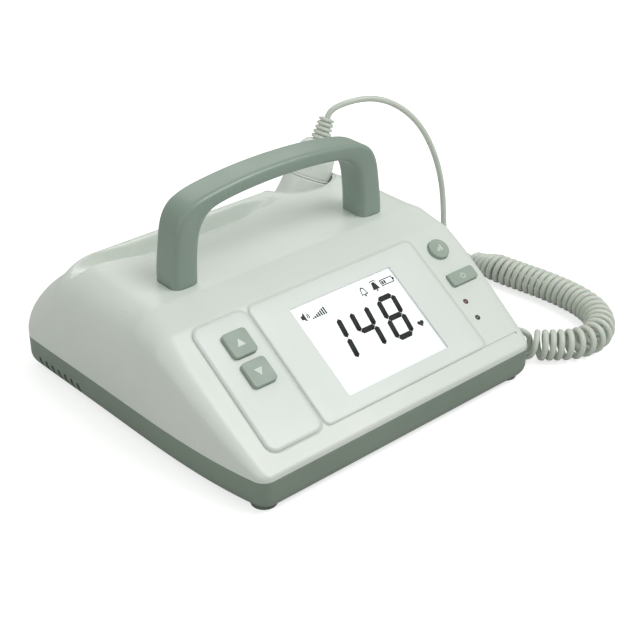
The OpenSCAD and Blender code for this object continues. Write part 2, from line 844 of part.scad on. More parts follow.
module probe_handle() {
  color([0.88, 0.9, 0.88])
    probe_axis()
      rotate_extrude()
        polygon([[0, 0.6], [neck_r, 0.6], [neck_r - 0.4, 5], [neck_r - 1.1, 12],
                 [neck_r - 1.9, 16], [neck_r - 3.6, 19.4], [neck_r - 5.6, 22],
                 [7.4, 23.4], [3, 23.4], [3, 12], [0, 12]]);
}

module probe_ring() {
  color([0.95, 0.96, 0.95])
    probe_axis()
      translate([0, 0, -0.6])
        cylinder(r = neck_r + 0.3, h = 1.2);
}

module probe_head() {
  color([0.84, 0.86, 0.84])
    probe_axis()
      difference() {
        rotate_extrude()
          polygon([[0, -0.6], [neck_r + 0.2, -0.6], [neck_r + 0.8, -6], [neck_r + 1.6, -12],
                   [neck_r + 2.9, -18], [neck_r + 5, -23], [head_r - 0.3, -27],
                   [head_r, -29], [head_r - 0.4, -30.6], [head_r - 1.5, -31.3],
                   [0, -31.3]]);
        translate([0, 0, -32])
          cylinder(r = head_r - 4.5, h = 5.7);
      }
}

module probe_face() {
  color([0.62, 0.66, 0.64])
    probe_axis()
      translate([0, 0, -32.5])
        cylinder(r = head_r - 1.6, h = 1.2);
}

module probe_crystal() {
  color([0.75, 0.68, 0.5])
    probe_axis()
      for (a = [0 : 60 : 300])
        translate([10.5 * cos(a), 10.5 * sin(a), -31.3])
          cylinder(r = 4.5, h = 5);
}

relief_from = 23.4;
relief_to = 38;

module probe_relief() {
  color([0.86, 0.88, 0.86])
    probe_axis() {
      translate([0, 0, relief_from])
        cylinder(r1 = 5.4, r2 = 3.6, h = relief_to - relief_from);
      for (i = [0 : 4])
        translate([0, 0, relief_from + 1 + 2.9 * i])
          cylinder(r = 6.8 - 0.5 * i, h = 1.5);
    }
}

module straight_cord() {
  color([0.9, 0.92, 0.9])
    tube(straight_path, cord_diameter / 2, 10);
}

module curly_cord() {
  echo(least_gap = least_gap(curl_path), curly_length = total(steps(curl_path)),
       straight_length = total(steps(straight_path)), curls = coil_turns);
  color([0.9, 0.92, 0.9])
    tube(curl_path, cord_diameter / 2, 6);
}

module cord_plug() {
  color([0.84, 0.86, 0.84])
    translate([0, socket_y, socket_z])
      rotate([0, 90, 0]) {
        translate([0, 0, socket_x - 5])
          cylinder(r = 3.5, h = 8);
        translate([0, 0, socket_x + 2])
          cylinder(r = 5.4, h = 3);
      }
}

module plug_relief() {
  color([0.84, 0.86, 0.84])
    translate([0, socket_y, socket_z])
      rotate([0, 90, 0])
        translate([0, 0, socket_x + 5])
          cylinder(r1 = 4.2, r2 = 2.6, h = relief_end - socket_x - 5);
}

module cord_socket() {
  color([0.2, 0.2, 0.21])
    translate([0, socket_y, socket_z])
      rotate([0, 90, 0])
        difference() {
          union() {
            translate([0, 0, socket_x - 12])
              cylinder(r = 6, h = 14);
            translate([-6, -6.5, socket_x - 13])
              cube([12, 13, 5]);
          }
          translate([0, 0, socket_x - 6])
            cylinder(r = 3.55, h = 20);
        }
}

module rear_socket(x, bore) {
  translate([x, rear_y, socket_z])
    rotate([-90, 0, 0])
      difference() {
        union() {
          translate([-5, -6, -13.5])
            cube([10, 12, 7.9]);
          translate([0, 0, -6])
            cylinder(r = 4, h = 6);
        }
        translate([0, 0, -10])
          cylinder(d = bore, h = 20);
      }
}

module power_inlet() {
  color([0.12, 0.12, 0.13])
    rear_socket(power_x, 5.6);
}

module phone_socket() {
  color([0.12, 0.12, 0.13])
    rear_socket(phone_x, 3.6);
}

base_housing();
upper_housing();
display_bezel();
key_panel();
display_window();
lcd_glass();
lcd_backlight();
main_board();
key_board();
board_screws();
up_key();
down_key();
mode_key();
power_key();
left_switches();
right_switches();
alarm_lamp();
charge_lamp();
speaker();
battery_pack();
battery_cover();
cover_screw();
foot_front_left();
foot_front_right();
foot_rear_left();
foot_rear_right();
case_screws();
carry_handle();
handle_screws();
probe_cup();
cup_pad();
probe_handle();
probe_ring();
probe_head();
probe_face();
probe_crystal();
probe_relief();
straight_cord();
curly_cord();
cord_plug();
plug_relief();
cord_socket();
power_inlet();
phone_socket();
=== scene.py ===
"""Looks of a desktop fetal heart monitor with a display, four keys, a carry handle and a probe.

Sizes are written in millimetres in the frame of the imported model: X to the right, Y to the rear,
Z up from the table. On the sloped panel a place is (x, t, n): t runs up the slope and n stands
square on it.
"""

import logging
import math
from dataclasses import dataclass, field
from enum import Enum
from typing import Any, Optional, Sequence

import bpy
import numpy as np
from mathutils import Euler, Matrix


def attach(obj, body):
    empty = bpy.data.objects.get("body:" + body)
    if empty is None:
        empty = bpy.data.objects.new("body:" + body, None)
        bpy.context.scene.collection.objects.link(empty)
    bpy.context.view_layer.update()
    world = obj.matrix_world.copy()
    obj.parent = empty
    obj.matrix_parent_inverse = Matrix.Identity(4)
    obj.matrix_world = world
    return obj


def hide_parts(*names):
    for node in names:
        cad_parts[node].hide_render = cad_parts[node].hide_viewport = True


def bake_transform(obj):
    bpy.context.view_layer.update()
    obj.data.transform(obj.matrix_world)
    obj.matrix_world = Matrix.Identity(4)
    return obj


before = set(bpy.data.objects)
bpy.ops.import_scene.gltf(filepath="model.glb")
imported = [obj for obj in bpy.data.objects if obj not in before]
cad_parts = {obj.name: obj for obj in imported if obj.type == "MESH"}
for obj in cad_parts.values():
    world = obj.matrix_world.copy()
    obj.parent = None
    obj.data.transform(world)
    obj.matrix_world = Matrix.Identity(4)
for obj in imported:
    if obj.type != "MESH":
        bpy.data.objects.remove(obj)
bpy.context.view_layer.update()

logging.basicConfig(level=logging.INFO, format="%(name)s: %(message)s")
LOG = logging.getLogger("monitor")
Array = np.ndarray
MM = 0.001


# ---------------------------------------------------------------- colours and nodes


def linear(colour: str) -> tuple[float, float, float, float]:
    """Turns an sRGB hex colour to linear light.

    Args:
        colour: six hex digits after a hash.

    Returns:
        Red, green, blue and an alpha of 1.
    """
    parts = [int(colour[i:i + 2], 16) / 255 for i in (1, 3, 5)]
    bent = [c / 12.92 if c <= 0.04045 else ((c + 0.055) / 1.055) ** 2.4 for c in parts]
    return bent[0], bent[1], bent[2], 1.0


def add_node(tree: bpy.types.NodeTree, kind: str, settings: Optional[dict] = None,
             inputs: Optional[dict] = None) -> bpy.types.Node:
    """Adds a node with its settings and what goes into it.

    Args:
        tree: the node tree that receives the node.
        kind: Blender's name of the node type.
        settings: properties of the node by name.
        inputs: values by input name or number; a socket as value is linked.

    Returns:
        The new node.
    """
    node = tree.nodes.new(kind)
    for name, value in (settings or {}).items():
        setattr(node, name, value)
    for name, value in (inputs or {}).items():
        if isinstance(value, bpy.types.NodeSocket):
            tree.links.new(value, node.inputs[name])
        else:
            node.inputs[name].default_value = value
    return node


def clear_tree(owner: Any) -> bpy.types.NodeTree:
    """Turns on the nodes of a material or a world and removes the ones it starts with.

    Args:
        owner: the material or world.

    Returns:
        Its empty node tree.
    """
    owner.use_nodes = True
    owner.node_tree.nodes.clear()
    return owner.node_tree


class Pattern(Enum):
    """What the bump of a finish follows."""

    SPARK = "fine spark-eroded grain of a mould"
    PLAIN = "polished mould with a soft ripple"
    CELLS = "open cells of a foam"
    BRUSHED = "fine turning marks"


# ---------------------------------------------------------------- finishes


@dataclass(frozen=True)
class Finish:
    """A surface finish: one real material and the way its surface was made.

    The grain is a noise whose cell is grain_mm wide; the mottle is a slow noise mottle_mm wide
    that moves the colour towards second_colour and the roughness by roughness_spread.
    """

    name: str
    colour: str
    second_colour: str
    roughness: float
    roughness_spread: float = 0.06
    pattern: Pattern = Pattern.SPARK
    grain_mm: float = 0.7
    grain_height_mm: float = 0.02
    mottle_mm: float = 60.0
    ior: float = 1.53
    metallic: float = 0.0
    alpha: float = 1.0
    coat: float = 0.0
    glow: float = 0.0
    subsurface_mm: float = 0.0

    def material(self) -> bpy.types.Material:
        """Gives the material of this finish, made once.

        Returns:
            The Blender material with its nodes.
        """
        made = bpy.data.materials.get(self.name)
        if made:
            return made
        made = bpy.data.materials.new(self.name)
        tree = clear_tree(made)
        place = add_node(tree, "ShaderNodeTexCoord").outputs["Object"]
        mottle = add_node(tree, "ShaderNodeTexNoise", {},
                          {"Vector": place, "Scale": 1000 / self.mottle_mm, "Detail": 3.0,
                           "Roughness": 0.55}).outputs["Fac"]
        share = add_node(tree, "ShaderNodeMapRange", {},
                         {"Value": mottle, "From Min": 0.35, "From Max": 0.65}).outputs[0]
        colour = add_node(tree, "ShaderNodeMix", {"data_type": "RGBA", "clamp_factor": True},
                          {0: share, 6: linear(self.colour),
                           7: linear(self.second_colour)}).outputs[2]
        rough = add_node(tree, "ShaderNodeMapRange", {},
                         {"Value": mottle, "From Min": 0.3, "From Max": 0.7,
                          "To Min": self.roughness - self.roughness_spread,
                          "To Max": self.roughness + self.roughness_spread}).outputs[0]
        shader = add_node(tree, "ShaderNodeBsdfPrincipled", {},
                          {"Base Color": colour, "Roughness": rough, "Metallic": self.metallic,
                           "Alpha": self.alpha, "Coat Weight": self.coat,
                           "Normal": self._bump(tree, place)})
        if self.metallic == 0:
            shader.inputs["IOR"].default_value = self.ior
        if self.glow > 0:
            shader.inputs["Emission Color"].default_value = linear(self.colour)
            shader.inputs["Emission Strength"].default_value = self.glow
        if self.subsurface_mm > 0:
            shader.inputs["Subsurface Weight"].default_value = 0.15
            shader.inputs["Subsurface Scale"].default_value = self.subsurface_mm * MM
        add_node(tree, "ShaderNodeOutputMaterial", {}, {"Surface": shader.outputs["BSDF"]})
        return made

    def _bump(self, tree: bpy.types.NodeTree, place: Any) -> Any:
        """Builds the bump of the finish.

        Args:
            tree: the node tree.
            place: the socket with the object coordinates.

        Returns:
            The socket with the bent normal.
        """
        if self.pattern is Pattern.CELLS:
            height = add_node(tree, "ShaderNodeTexVoronoi", {"feature": "DISTANCE_TO_EDGE"},
                              {"Vector": place, "Scale": 1000 / self.grain_mm}).outputs[0]
        elif self.pattern is Pattern.BRUSHED:
            turned = add_node(tree, "ShaderNodeMapping", {},
                              {"Vector": place, "Scale": (1.0, 1.0, 18.0)}).outputs[0]
            height = add_node(tree, "ShaderNodeTexNoise", {},
                              {"Vector": turned, "Scale": 1000 / self.grain_mm / 6,
                               "Detail": 2.0}).outputs["Fac"]
        else:
            detail = 4.0 if self.pattern is Pattern.SPARK else 1.0
            height = add_node(tree, "ShaderNodeTexNoise", {},
                              {"Vector": place, "Scale": 1000 / self.grain_mm,
                               "Detail": detail, "Roughness": 0.6}).outputs["Fac"]
        return add_node(tree, "ShaderNodeBump", {},
                        {"Strength": 0.5, "Distance": self.grain_height_mm * MM,
                         "Height": height}).outputs[0]


# Moulded ABS, white with a cool green cast: half-gloss, fine grain that softens the highlights
WHITE_ABS = Finish("moulded_white_abs", "#E1E6E0", "#DBE1DB", 0.32, grain_mm=0.6,
                   grain_height_mm=0.012, mottle_mm=90)
# The same ABS on the raised plates, from another mould: a little lighter and smoother
PLATE_ABS = Finish("moulded_plate_abs", "#E4E8E5", "#DFE4E0", 0.36, grain_mm=0.5,
                   grain_height_mm=0.008, mottle_mm=70)
# Moulded ABS, grey-green, on the base: duller, with a grain that breaks up the light
BASE_ABS = Finish("moulded_grey_abs", "#859286", "#7F8B80", 0.42, grain_mm=0.8,
                  grain_height_mm=0.02, mottle_mm=80)
# Moulded ABS of the handle: satin, lighter than the base
HANDLE_ABS = Finish("moulded_handle_abs", "#8F9F94", "#89998E", 0.3, grain_mm=0.6,
                    grain_height_mm=0.015, mottle_mm=45)
# Moulded key caps: satin grey-green
KEY_ABS = Finish("moulded_key_abs", "#9EACA1", "#98A69B", 0.42, grain_mm=0.4,
                 grain_height_mm=0.008, mottle_mm=20)
# Pad-printed ink on the keys: pale and flat
KEY_INK = Finish("printed_pale_ink", "#DDE4DF", "#D7DED9", 0.55, grain_mm=0.3,
                 grain_height_mm=0.004, mottle_mm=8)
# Cast acrylic window: clear and smooth, seen only by its reflections
CLEAR_ACRYLIC = Finish("cast_clear_acrylic", "#8E9496", "#8A9092", 0.08, roughness_spread=0.02,
                       pattern=Pattern.PLAIN, grain_mm=14, grain_height_mm=0.002, ior=1.49,
                       alpha=0.03)
# Display glass with its lit diffuser: even cool white
LCD_WHITE = Finish("lit_display_glass", "#FBFDFF", "#F7FAFD", 0.3, roughness_spread=0.03,
                   pattern=Pattern.PLAIN, grain_mm=20, grain_height_mm=0.002, glow=0.22)
# Liquid crystal segments that are switched on: black with no gloss
LCD_INK = Finish("dark_crystal_segment", "#0C0D0E", "#111213", 0.6, grain_mm=0.5,
                 grain_height_mm=0.002)
# Soft PVC cord jacket: white, soft sheen, light passes a little way in
CORD_PVC = Finish("extruded_white_pvc", "#D5DAD1", "#CFD4CB", 0.36, pattern=Pattern.PLAIN,
                  grain_mm=3.0, grain_height_mm=0.03, mottle_mm=25, subsurface_mm=1.0)
# Probe shell: white ABS, smoother than the console
PROBE_ABS = Finish("polished_white_abs", "#E4E8E4", "#DFE4DF", 0.3, pattern=Pattern.PLAIN,
                   grain_mm=5, grain_height_mm=0.01, mottle_mm=35)
# Moulded seam ring of the probe: glossier, and its colour is lighter than the shell as a painted
# highlight along the seam
SEAM_ABS_PAINTED_HIGHLIGHT = Finish("seam_abs_painted_highlight", "#EEF1EE", "#EAEEEA", 0.22, pattern=Pattern.PLAIN,
                  grain_mm=6, grain_height_mm=0.005, mottle_mm=20)
# Cast silicone face of the probe: grey and matt
FACE_SILICONE = Finish("cast_grey_silicone", "#A9B2AD", "#A2ABA6", 0.6, pattern=Pattern.PLAIN,
                       grain_mm=2, grain_height_mm=0.02, mottle_mm=12)
# Sintered ceramic of the crystals: pale ochre, dry
CRYSTAL_CERAMIC = Finish("sintered_pale_ceramic", "#C9BB93", "#BFB088", 0.7, grain_mm=0.4,
                         grain_height_mm=0.03, mottle_mm=4)
# Cup liner ABS: as the housing, its colour a little darker as painted shade inside the well
CUP_ABS_PAINTED_SHADE = Finish("moulded_cup_abs_painted_shade", "#DDE2DC", "#D6DCD6", 0.42, grain_mm=0.6,
                 grain_height_mm=0.012, mottle_mm=40)
# Cut foam pad: open cells, matt
PAD_FOAM = Finish("cut_grey_foam", "#565B58", "#4D524F", 0.9, pattern=Pattern.CELLS,
                  grain_mm=1.1, grain_height_mm=0.25, mottle_mm=15)
# Moulded rubber feet: grey and matt, a little darker than the base
FOOT_RUBBER = Finish("moulded_grey_rubber", "#6F7A73", "#67716A", 0.75, grain_mm=0.5,
                     grain_height_mm=0.03, mottle_mm=10)
# Turned and plated steel screws
PLATED_STEEL = Finish("turned_plated_steel", "#B4B6B9", "#A9ABAE", 0.32,
                      pattern=Pattern.BRUSHED, grain_mm=0.4, grain_height_mm=0.01,
                      mottle_mm=5, metallic=1.0)
# Solder-resist on a glass-fibre board: deep green, half-gloss
BOARD_RESIST = Finish("green_solder_resist", "#1E6B3A", "#195C32", 0.35, grain_mm=1.2,
                      grain_height_mm=0.01, mottle_mm=9, coat=0.3)
# Glass-filled nylon of sockets and switches: near black, dry
BLACK_NYLON = Finish("moulded_black_nylon", "#202224", "#292B2E", 0.55, grain_mm=0.5,
                     grain_height_mm=0.02, mottle_mm=12)
# Shrink wrap round the battery: blue film, glossy
SHRINK_WRAP = Finish("blue_shrink_wrap", "#2F4F94", "#294685", 0.25, pattern=Pattern.PLAIN,
                     grain_mm=5, grain_height_mm=0.06, mottle_mm=14)
# Cast epoxy lamps, unlit: tinted, glossy
RED_EPOXY = Finish("cast_red_epoxy", "#6E4542", "#643D3A", 0.18, pattern=Pattern.PLAIN,
                   grain_mm=2, grain_height_mm=0.004, mottle_mm=2, coat=0.5)
GREEN_EPOXY = Finish("cast_green_epoxy", "#33503F", "#2C4738", 0.18, pattern=Pattern.PLAIN,
                     grain_mm=2, grain_height_mm=0.004, mottle_mm=2, coat=0.5)


# ---------------------------------------------------------------- mesh building


def grid_faces(rows: int, columns: int, wrap_columns: bool = False,
               wrap_rows: bool = False) -> Array:
    """Quads of a grid of points stored row by row.

    Args:
        rows: number of rows.
        columns: number of points in a row.
        wrap_columns: joins the last point of a row to its first.
        wrap_rows: joins the last row to the first.

    Returns:
        An array of four indices a face, turning from the row towards the next row.
    """
    r = np.arange(rows if wrap_rows else rows - 1)[:, None]
    c = np.arange(columns if wrap_columns else columns - 1)[None, :]
    r2, c2 = (r + 1) % rows, (c + 1) % columns
    return np.stack(np.broadcast_arrays(r * columns + c, r * columns + c2,
                                        r2 * columns + c2, r2 * columns + c),
                    axis=-1).reshape(-1, 4)


def make_object(name: str, points: Array, faces: Sequence[Sequence[int]]) -> bpy.types.Object:
    """Puts points in millimetres and faces into a new object at the origin.

    Args:
        name: the object's name.
        points: an array of points, three numbers each, in millimetres.
        faces: lists of indices.

    Returns:
        The object, linked to the scene.
    """
    mesh = bpy.data.meshes.new(name)
    mesh.from_pydata((points.reshape(-1, 3) * MM).tolist(), [], [list(f) for f in faces])
    mesh.validate()
    made = bpy.data.objects.new(name, mesh)
    bpy.context.scene.collection.objects.link(made)
    return made


def loft(name: str, rings: Array, cap_start: bool = True,
         cap_end: bool = True) -> bpy.types.Object:
    """Joins closed rings, one after the other, into a skin with flat caps.

    Args:
        name: the object's name.
        rings: rings by points by three, in millimetres.
        cap_start: closes the first ring.
        cap_end: closes the last ring.

    Returns:
        The object, with its faces turned outwards.
    """
    count, around = rings.shape[:2]
    faces: list = grid_faces(count, around, wrap_columns=True).tolist()
    if cap_start:
        faces.append(list(range(around - 1, -1, -1)))
    if cap_end:
        faces.append(list(range((count - 1) * around, count * around)))
    made = make_object(name, rings, faces)
    turn_outwards(made)
    return made


def turn_outwards(obj: bpy.types.Object) -> None:
    """Turns a closed mesh inside out if its volume comes out negative.

    Args:
        obj: the object with the mesh.
    """
    mesh = obj.data
    mesh.calc_loop_triangles()
    tri = np.empty(len(mesh.loop_triangles) * 3, dtype=np.int32)
    mesh.loop_triangles.foreach_get("vertices", tri)
    co = np.empty(len(mesh.vertices) * 3)
    mesh.vertices.foreach_get("co", co)
    p = co.reshape(-1, 3)[tri.reshape(-1, 3)]
    if np.einsum("ij,ij->i", p[:, 0], np.cross(p[:, 1], p[:, 2])).sum() < 0:
        mesh.flip_normals()


def bake_modifiers(obj: bpy.types.Object) -> None:
    """Turns the object's modifiers into mesh.

    Args:
        obj: the object.
    """
    graph = bpy.context.evaluated_depsgraph_get()
    done = bpy.data.meshes.new_from_object(obj.evaluated_get(graph))
    obj.modifiers.clear()
    old, obj.data = obj.data, done
    done.name = obj.name
    bpy.data.meshes.remove(old)


def give_wall(obj: bpy.types.Object, wall: float) -> None:
    """Gives an open skin a wall to its inner side.

    Args:
        obj: the object with the skin.
        wall: wall thickness in millimetres.
    """
    solid = obj.modifiers.new("wall", "SOLIDIFY")
    solid.thickness = wall * MM
    solid.offset = -1
    solid.use_rim = True
    bake_modifiers(obj)


def cut_out(obj: bpy.types.Object, cutters: Sequence[bpy.types.Object]) -> None:
    """Takes the cutters' volumes out of an object and removes the cutters.

    Args:
        obj: the closed object to cut.
        cutters: closed objects.
    """
    for i, cutter in enumerate(cutters):
        step = obj.modifiers.new(f"cut{i}", "BOOLEAN")
        step.operation = "DIFFERENCE"
        step.solver = "MANIFOLD"
        step.object = cutter
    before = len(obj.data.vertices)
    bake_modifiers(obj)
    LOG.info("%s cut by %d tools: %d to %d points", obj.name, len(cutters), before,
             len(obj.data.vertices))
    for cutter in cutters:
        mesh = cutter.data
        bpy.data.objects.remove(cutter)
        bpy.data.meshes.remove(mesh)


def shade(obj: bpy.types.Object, angle: float = 32.0) -> None:
    """Smooths the shading and keeps edges sharper than an angle.

    Args:
        obj: the object.
        angle: degrees between faces above which the edge stays sharp.
    """
    mesh = obj.data
    mesh.polygons.foreach_set("use_smooth", np.ones(len(mesh.polygons), dtype=bool))
    normals = np.empty(len(mesh.polygons) * 3)
    mesh.polygons.foreach_get("normal", normals)
    normals = normals.reshape(-1, 3)
    loop_edge = np.empty(len(mesh.loops), dtype=np.int32)
    mesh.loops.foreach_get("edge_index", loop_edge)
    totals = np.empty(len(mesh.polygons), dtype=np.int32)
    mesh.polygons.foreach_get("loop_total", totals)
    owner = np.repeat(np.arange(len(mesh.polygons)), totals)
    order = np.argsort(loop_edge, kind="stable")
    edges, faces = loop_edge[order], owner[order]
    same = np.nonzero(edges[1:] == edges[:-1])[0]
    bend = np.einsum("ij,ij->i", normals[faces[same]], normals[faces[same + 1]])
    sharp = np.zeros(len(mesh.edges), dtype=bool)
    sharp[edges[same]] = bend < math.cos(math.radians(angle))
    mark = mesh.attributes.get("sharp_edge") or mesh.attributes.new("sharp_edge", "BOOLEAN",
                                                                     "EDGE")
    mark.data.foreach_set("value", sharp)
    mesh.update()


def finish_piece(obj: bpy.types.Object, finish: Finish, body: str,
                 stands_for: Sequence[str] = (), angle: float = 32.0) -> bpy.types.Object:
    """Dresses a piece and ties it to its body.

    Args:
        obj: the piece.
        finish: its finish.
        body: the body that it moves with.
        stands_for: CAD nodes that it replaces.
        angle: edges that bend more than this stay sharp, in degrees.

    Returns:
        The piece.
    """
    obj.data.materials.clear()
    obj.data.materials.append(finish.material())
    shade(obj, angle)
    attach(obj, body)
    if stands_for:
        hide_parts(*stands_for)
    LOG.info("%s: %d faces, finish %s, body %s", obj.name, len(obj.data.polygons),
             finish.name, body)
    return obj


# ---------------------------------------------------------------- outlines and paths


def rounded_outline(width: Array, height: Array, radius: Array, arc: int = 6) -> Array:
    """Outline of a rectangle with round corners, for one size or many.

    Each corner is the corner's centre plus a quarter circle of the radius.

    Args:
        width: widths, any shape.
        height: heights, same shape.
        radius: corner radii, same shape; held below half of the smaller side.
        arc: points on each quarter circle.

    Returns:
        Array of shape (..., 4 * arc, 2), anticlockwise.
    """
    w, h, r = (np.asarray(v, dtype=float)[..., None] for v in (width, height, radius))
    r = np.clip(r, 1e-4, np.minimum(w, h) / 2 * 0.999)
    turn = np.radians(np.concatenate([np.linspace(90 * k, 90 * k + 90, arc) for k in range(4)]))
    sx = np.repeat([1, -1, -1, 1], arc)
    sy = np.repeat([1, 1, -1, -1], arc)
    return np.stack([sx * (w / 2 - r) + r * np.cos(turn), sy * (h / 2 - r) + r * np.sin(turn)],
                    axis=-1)


def running_length(path: Array) -> Array:
    """Length along a polyline at each of its points.

    Args:
        path: points of the line.

    Returns:
        Lengths, the first of them 0.
    """
    return np.concatenate([[0], np.cumsum(np.linalg.norm(np.diff(path, axis=0), axis=1))])


def resample(path: Array, step: float = 0.0, count: int = 2) -> Array:
    """Points on a polyline at equal steps along its length.

    Args:
        path: points of the line.
        step: distance between the new points; 0 to go by the count.
        count: number of points, used when there is no step.

    Returns:
        The new points, ends included.
    """
    run = running_length(path)
    if step > 0:
        count = max(2, int(round(run[-1] / step)) + 1)
    at = np.linspace(0, run[-1], count)
    return np.stack([np.interp(at, run, path[:, k]) for k in range(path.shape[1])], axis=-1)


def soften(path: Array, reach: float, step: float) -> Array:
    """Rounds a line's corners: each point becomes a bell-weighted mean of its neighbours.

    Args:
        path: points at equal steps.
        reach: width of the bell, in the points' units.
        step: distance between the points.

    Returns:
        The softened points, with both ends kept.
    """
    half = int(4 * reach / step) + 1
    bell = np.exp(-0.5 * (np.arange(-half, half + 1) * step / reach) ** 2)
    bell /= bell.sum()
    first, last = path[:1], path[-1:]
    padded = np.concatenate([2 * first - path[half:0:-1], path,
                             2 * last - path[-2:-half - 2:-1]])
    return np.stack([np.convolve(padded[:, k], bell, mode="valid")
                     for k in range(path.shape[1])], axis=-1)


def spline(points: Array, steps: int, through: bool = True) -> Array:
    """Cubic curve with its end points reflected.

    Args:
        points: the control points.
        steps: points for each stretch.
        through: True for a Catmull-Rom curve, which passes every point; False for a uniform
            B-spline, as the cord's source uses.

    Returns:
        The curve's points, ending on the last control point.
    """
    q = np.concatenate([2 * points[:1] - points[1:2], points, 2 * points[-1:] - points[-2:-1]])
    u = (np.arange(steps) / steps)[None, :, None]
    a, b, c, d = (q[i:len(q) - 3 + i, None] for i in range(4))
    if through:
        curve = 0.5 * (2 * b + (c - a) * u + (2 * a - 5 * b + 4 * c - d) * u ** 2
                       + (3 * b - a - 3 * c + d) * u ** 3)
    else:
        curve = ((1 - u) ** 3 * a + (3 * u ** 3 - 6 * u ** 2 + 4) * b
                 + (-3 * u ** 3 + 3 * u ** 2 + 3 * u + 1) * c + u ** 3 * d) / 6
    return np.concatenate([curve.reshape(-1, points.shape[1]), points[-1:]])


def raised(flat: Array, levels: Sequence[float]) -> Array:
    """Gives each flat ring its level as the third coordinate.

    Args:
        flat: rings by points by two.
        levels: one level for each ring.

    Returns:
        Rings by points by three.
    """
    heights = np.asarray(levels, dtype=float)[:, None, None]
    return np.concatenate([flat, np.broadcast_to(heights, flat.shape[:2] + (1,))], axis=-1)


def tube_rings(path: Array, radius: Array, sides: int) -> Array:
    """Rings round a path: centre plus radius times a circle carried without twist.

    Args:
        path: centre points.
        radius: one radius for each point, or one for all.
        sides: points in a ring.

    Returns:
        Array of rings.
    """
    ahead = np.gradient(path, axis=0)
    ahead /= np.linalg.norm(ahead, axis=1, keepdims=True)
    up = np.empty_like(ahead)
    held = np.array([0.31, 0.2, 0.93])
    for i, t in enumerate(ahead):
        held = held - (held @ t) * t
        held = held / np.linalg.norm(held)
        up[i] = held
    side = np.cross(ahead, up)
    turn = np.linspace(0, 2 * math.pi, sides, endpoint=False)
    reach = np.broadcast_to(np.asarray(radius, dtype=float), (len(path),))[:, None, None]
    return path[:, None] + reach * (np.cos(turn)[None, :, None] * up[:, None]
                                    + np.sin(turn)[None, :, None] * side[:, None])


# ---------------------------------------------------------------- the panel's own frame


@dataclass(frozen=True)
class PanelFrame:
    """The sloped front panel: its origin at the front edge, up the slope t, off it n."""

    origin: tuple[float, float, float] = (0.0, -104.0, 22.8)
    rise: float = 48.4
    run: float = 76.0

    def place(self, local: Array) -> Array:
        """Turns (x, t, n) to the model's frame: origin + x X + t T + n N.

        Args:
            local: points, three numbers each, in millimetres.

        Returns:
            Points of the same shape in the model's frame.
        """
        long = math.hypot(self.rise, self.run)
        up = np.array([0.0, self.run / long, self.rise / long])
        off = np.array([0.0, -self.rise / long, self.run / long])
        across = np.array([1.0, 0.0, 0.0])
        return (np.array(self.origin) + local[..., :1] * across + local[..., 1:2] * up
                + local[..., 2:3] * off)


PANEL = PanelFrame()
PLATE_MID = 49.35
DISPLAY_PLATE_X = 10.3
KEY_PLATE_X = -69.3
DISPLAY_AT = (9.8, 48.7)
ARROW_X = -67.0
ARROW_TS = (51.8, 70.5)
ROUND_KEY_AT = (84.6, 75.3)
POWER_KEY_AT = (86.8, 54.2)
LAMP_X = 78.0
LAMP_TS = (39.6, 27.9)


def pad_rings(width: float, height: float, radius: float, low: float, high: float,
              edge: float, dish: float = 0.0, arc: int = 7) -> Array:
    """Rings of a pad with a rounded top edge and a dished or crowned top.

    The outline shrinks along a quarter circle of radius edge; inside it the top follows
    high - dish * (1 - s * s), where s is the outline's share of its full size.

    Args:
        width: full width.
        height: full height.
        radius: corner radius of the outline.
        low: level of the underside.
        high: level of the top edge.
        edge: radius of the rounded edge.
        dish: depth of the middle below the edge; negative for a crown.
        arc: points on each corner.

    Returns:
        Rings by points by (x, t, n) round the pad's own middle.
    """
    turn = np.radians(np.linspace(0, 90, 6))
    inset = np.concatenate([[0.0], edge * (1 - np.cos(turn))])
    level = np.concatenate([[low], high - edge + edge * np.sin(turn)])
    outline = rounded_outline(width - 2 * inset, height - 2 * inset,
                              np.maximum(radius - inset, 0.15), arc)
    shares = np.array([0.85, 0.65, 0.45, 0.25, 0.06])
    inner = outline[-1][None] * shares[:, None, None]
    return raised(np.concatenate([outline, inner]),
                  np.concatenate([level, high - dish * (1 - shares ** 2)]))


def panel_pad(name: str, x: float, t: float, rings: Array) -> bpy.types.Object:
    """Makes a pad on the panel from its local rings.

    Args:
        name: the object's name.
        x: sideways place of the middle.
        t: place of the middle up the slope.
        rings: rings from pad_rings.

    Returns:
        The object.
    """
    return loft(name, PANEL.place(rings + np.array([x, t, 0.0])))


def panel_prism(name: str, outline: Array, low: float, high: float) -> bpy.types.Object:
    """Makes a straight prism on the panel, used as a cutter or a thin mark.

    Args:
        name: the object's name.
        outline: points (x, t) of the outline, anticlockwise.
        low: level of its underside.
        high: level of its top.

    Returns:
        The object.
    """
    return loft(name, PANEL.place(raised(np.stack([outline, outline]), (low, high))))


def upright_prism(name: str, outline: Array, low: float, high: float) -> bpy.types.Object:
    """Makes a straight upright prism, used as a cutter.

    Args:
        name: the object's name.
        outline: points (x, y), anticlockwise.
        low: lower level.
        high: upper level.

    Returns:
        The object.
    """
    return loft(name, raised(np.stack([outline, outline]), (low, high)))


def arrow_openings(low: float, high: float) -> list[bpy.types.Object]:
    """Cutters for the openings of the two arrow keys.

    Args:
        low: level of their undersides.
        high: level of their tops.

    Returns:
        Two closed objects.
    """
    return [panel_prism("cut", rounded_outline(15.6, 15.6, 2.75) + [ARROW_X, t], low, high)
            for t in ARROW_TS]


def circle(radius: float, points: int = 48) -> Array:
    """Points of a circle, anticlockwise from +X.

    Args:
        radius: its radius.
        points: how many points.

    Returns:
        Points (x, y) round the origin.
    """
    turn = np.linspace(0, 2 * math.pi, points, endpoint=False)
    return radius * np.stack([np.cos(turn), np.sin(turn)], axis=-1)


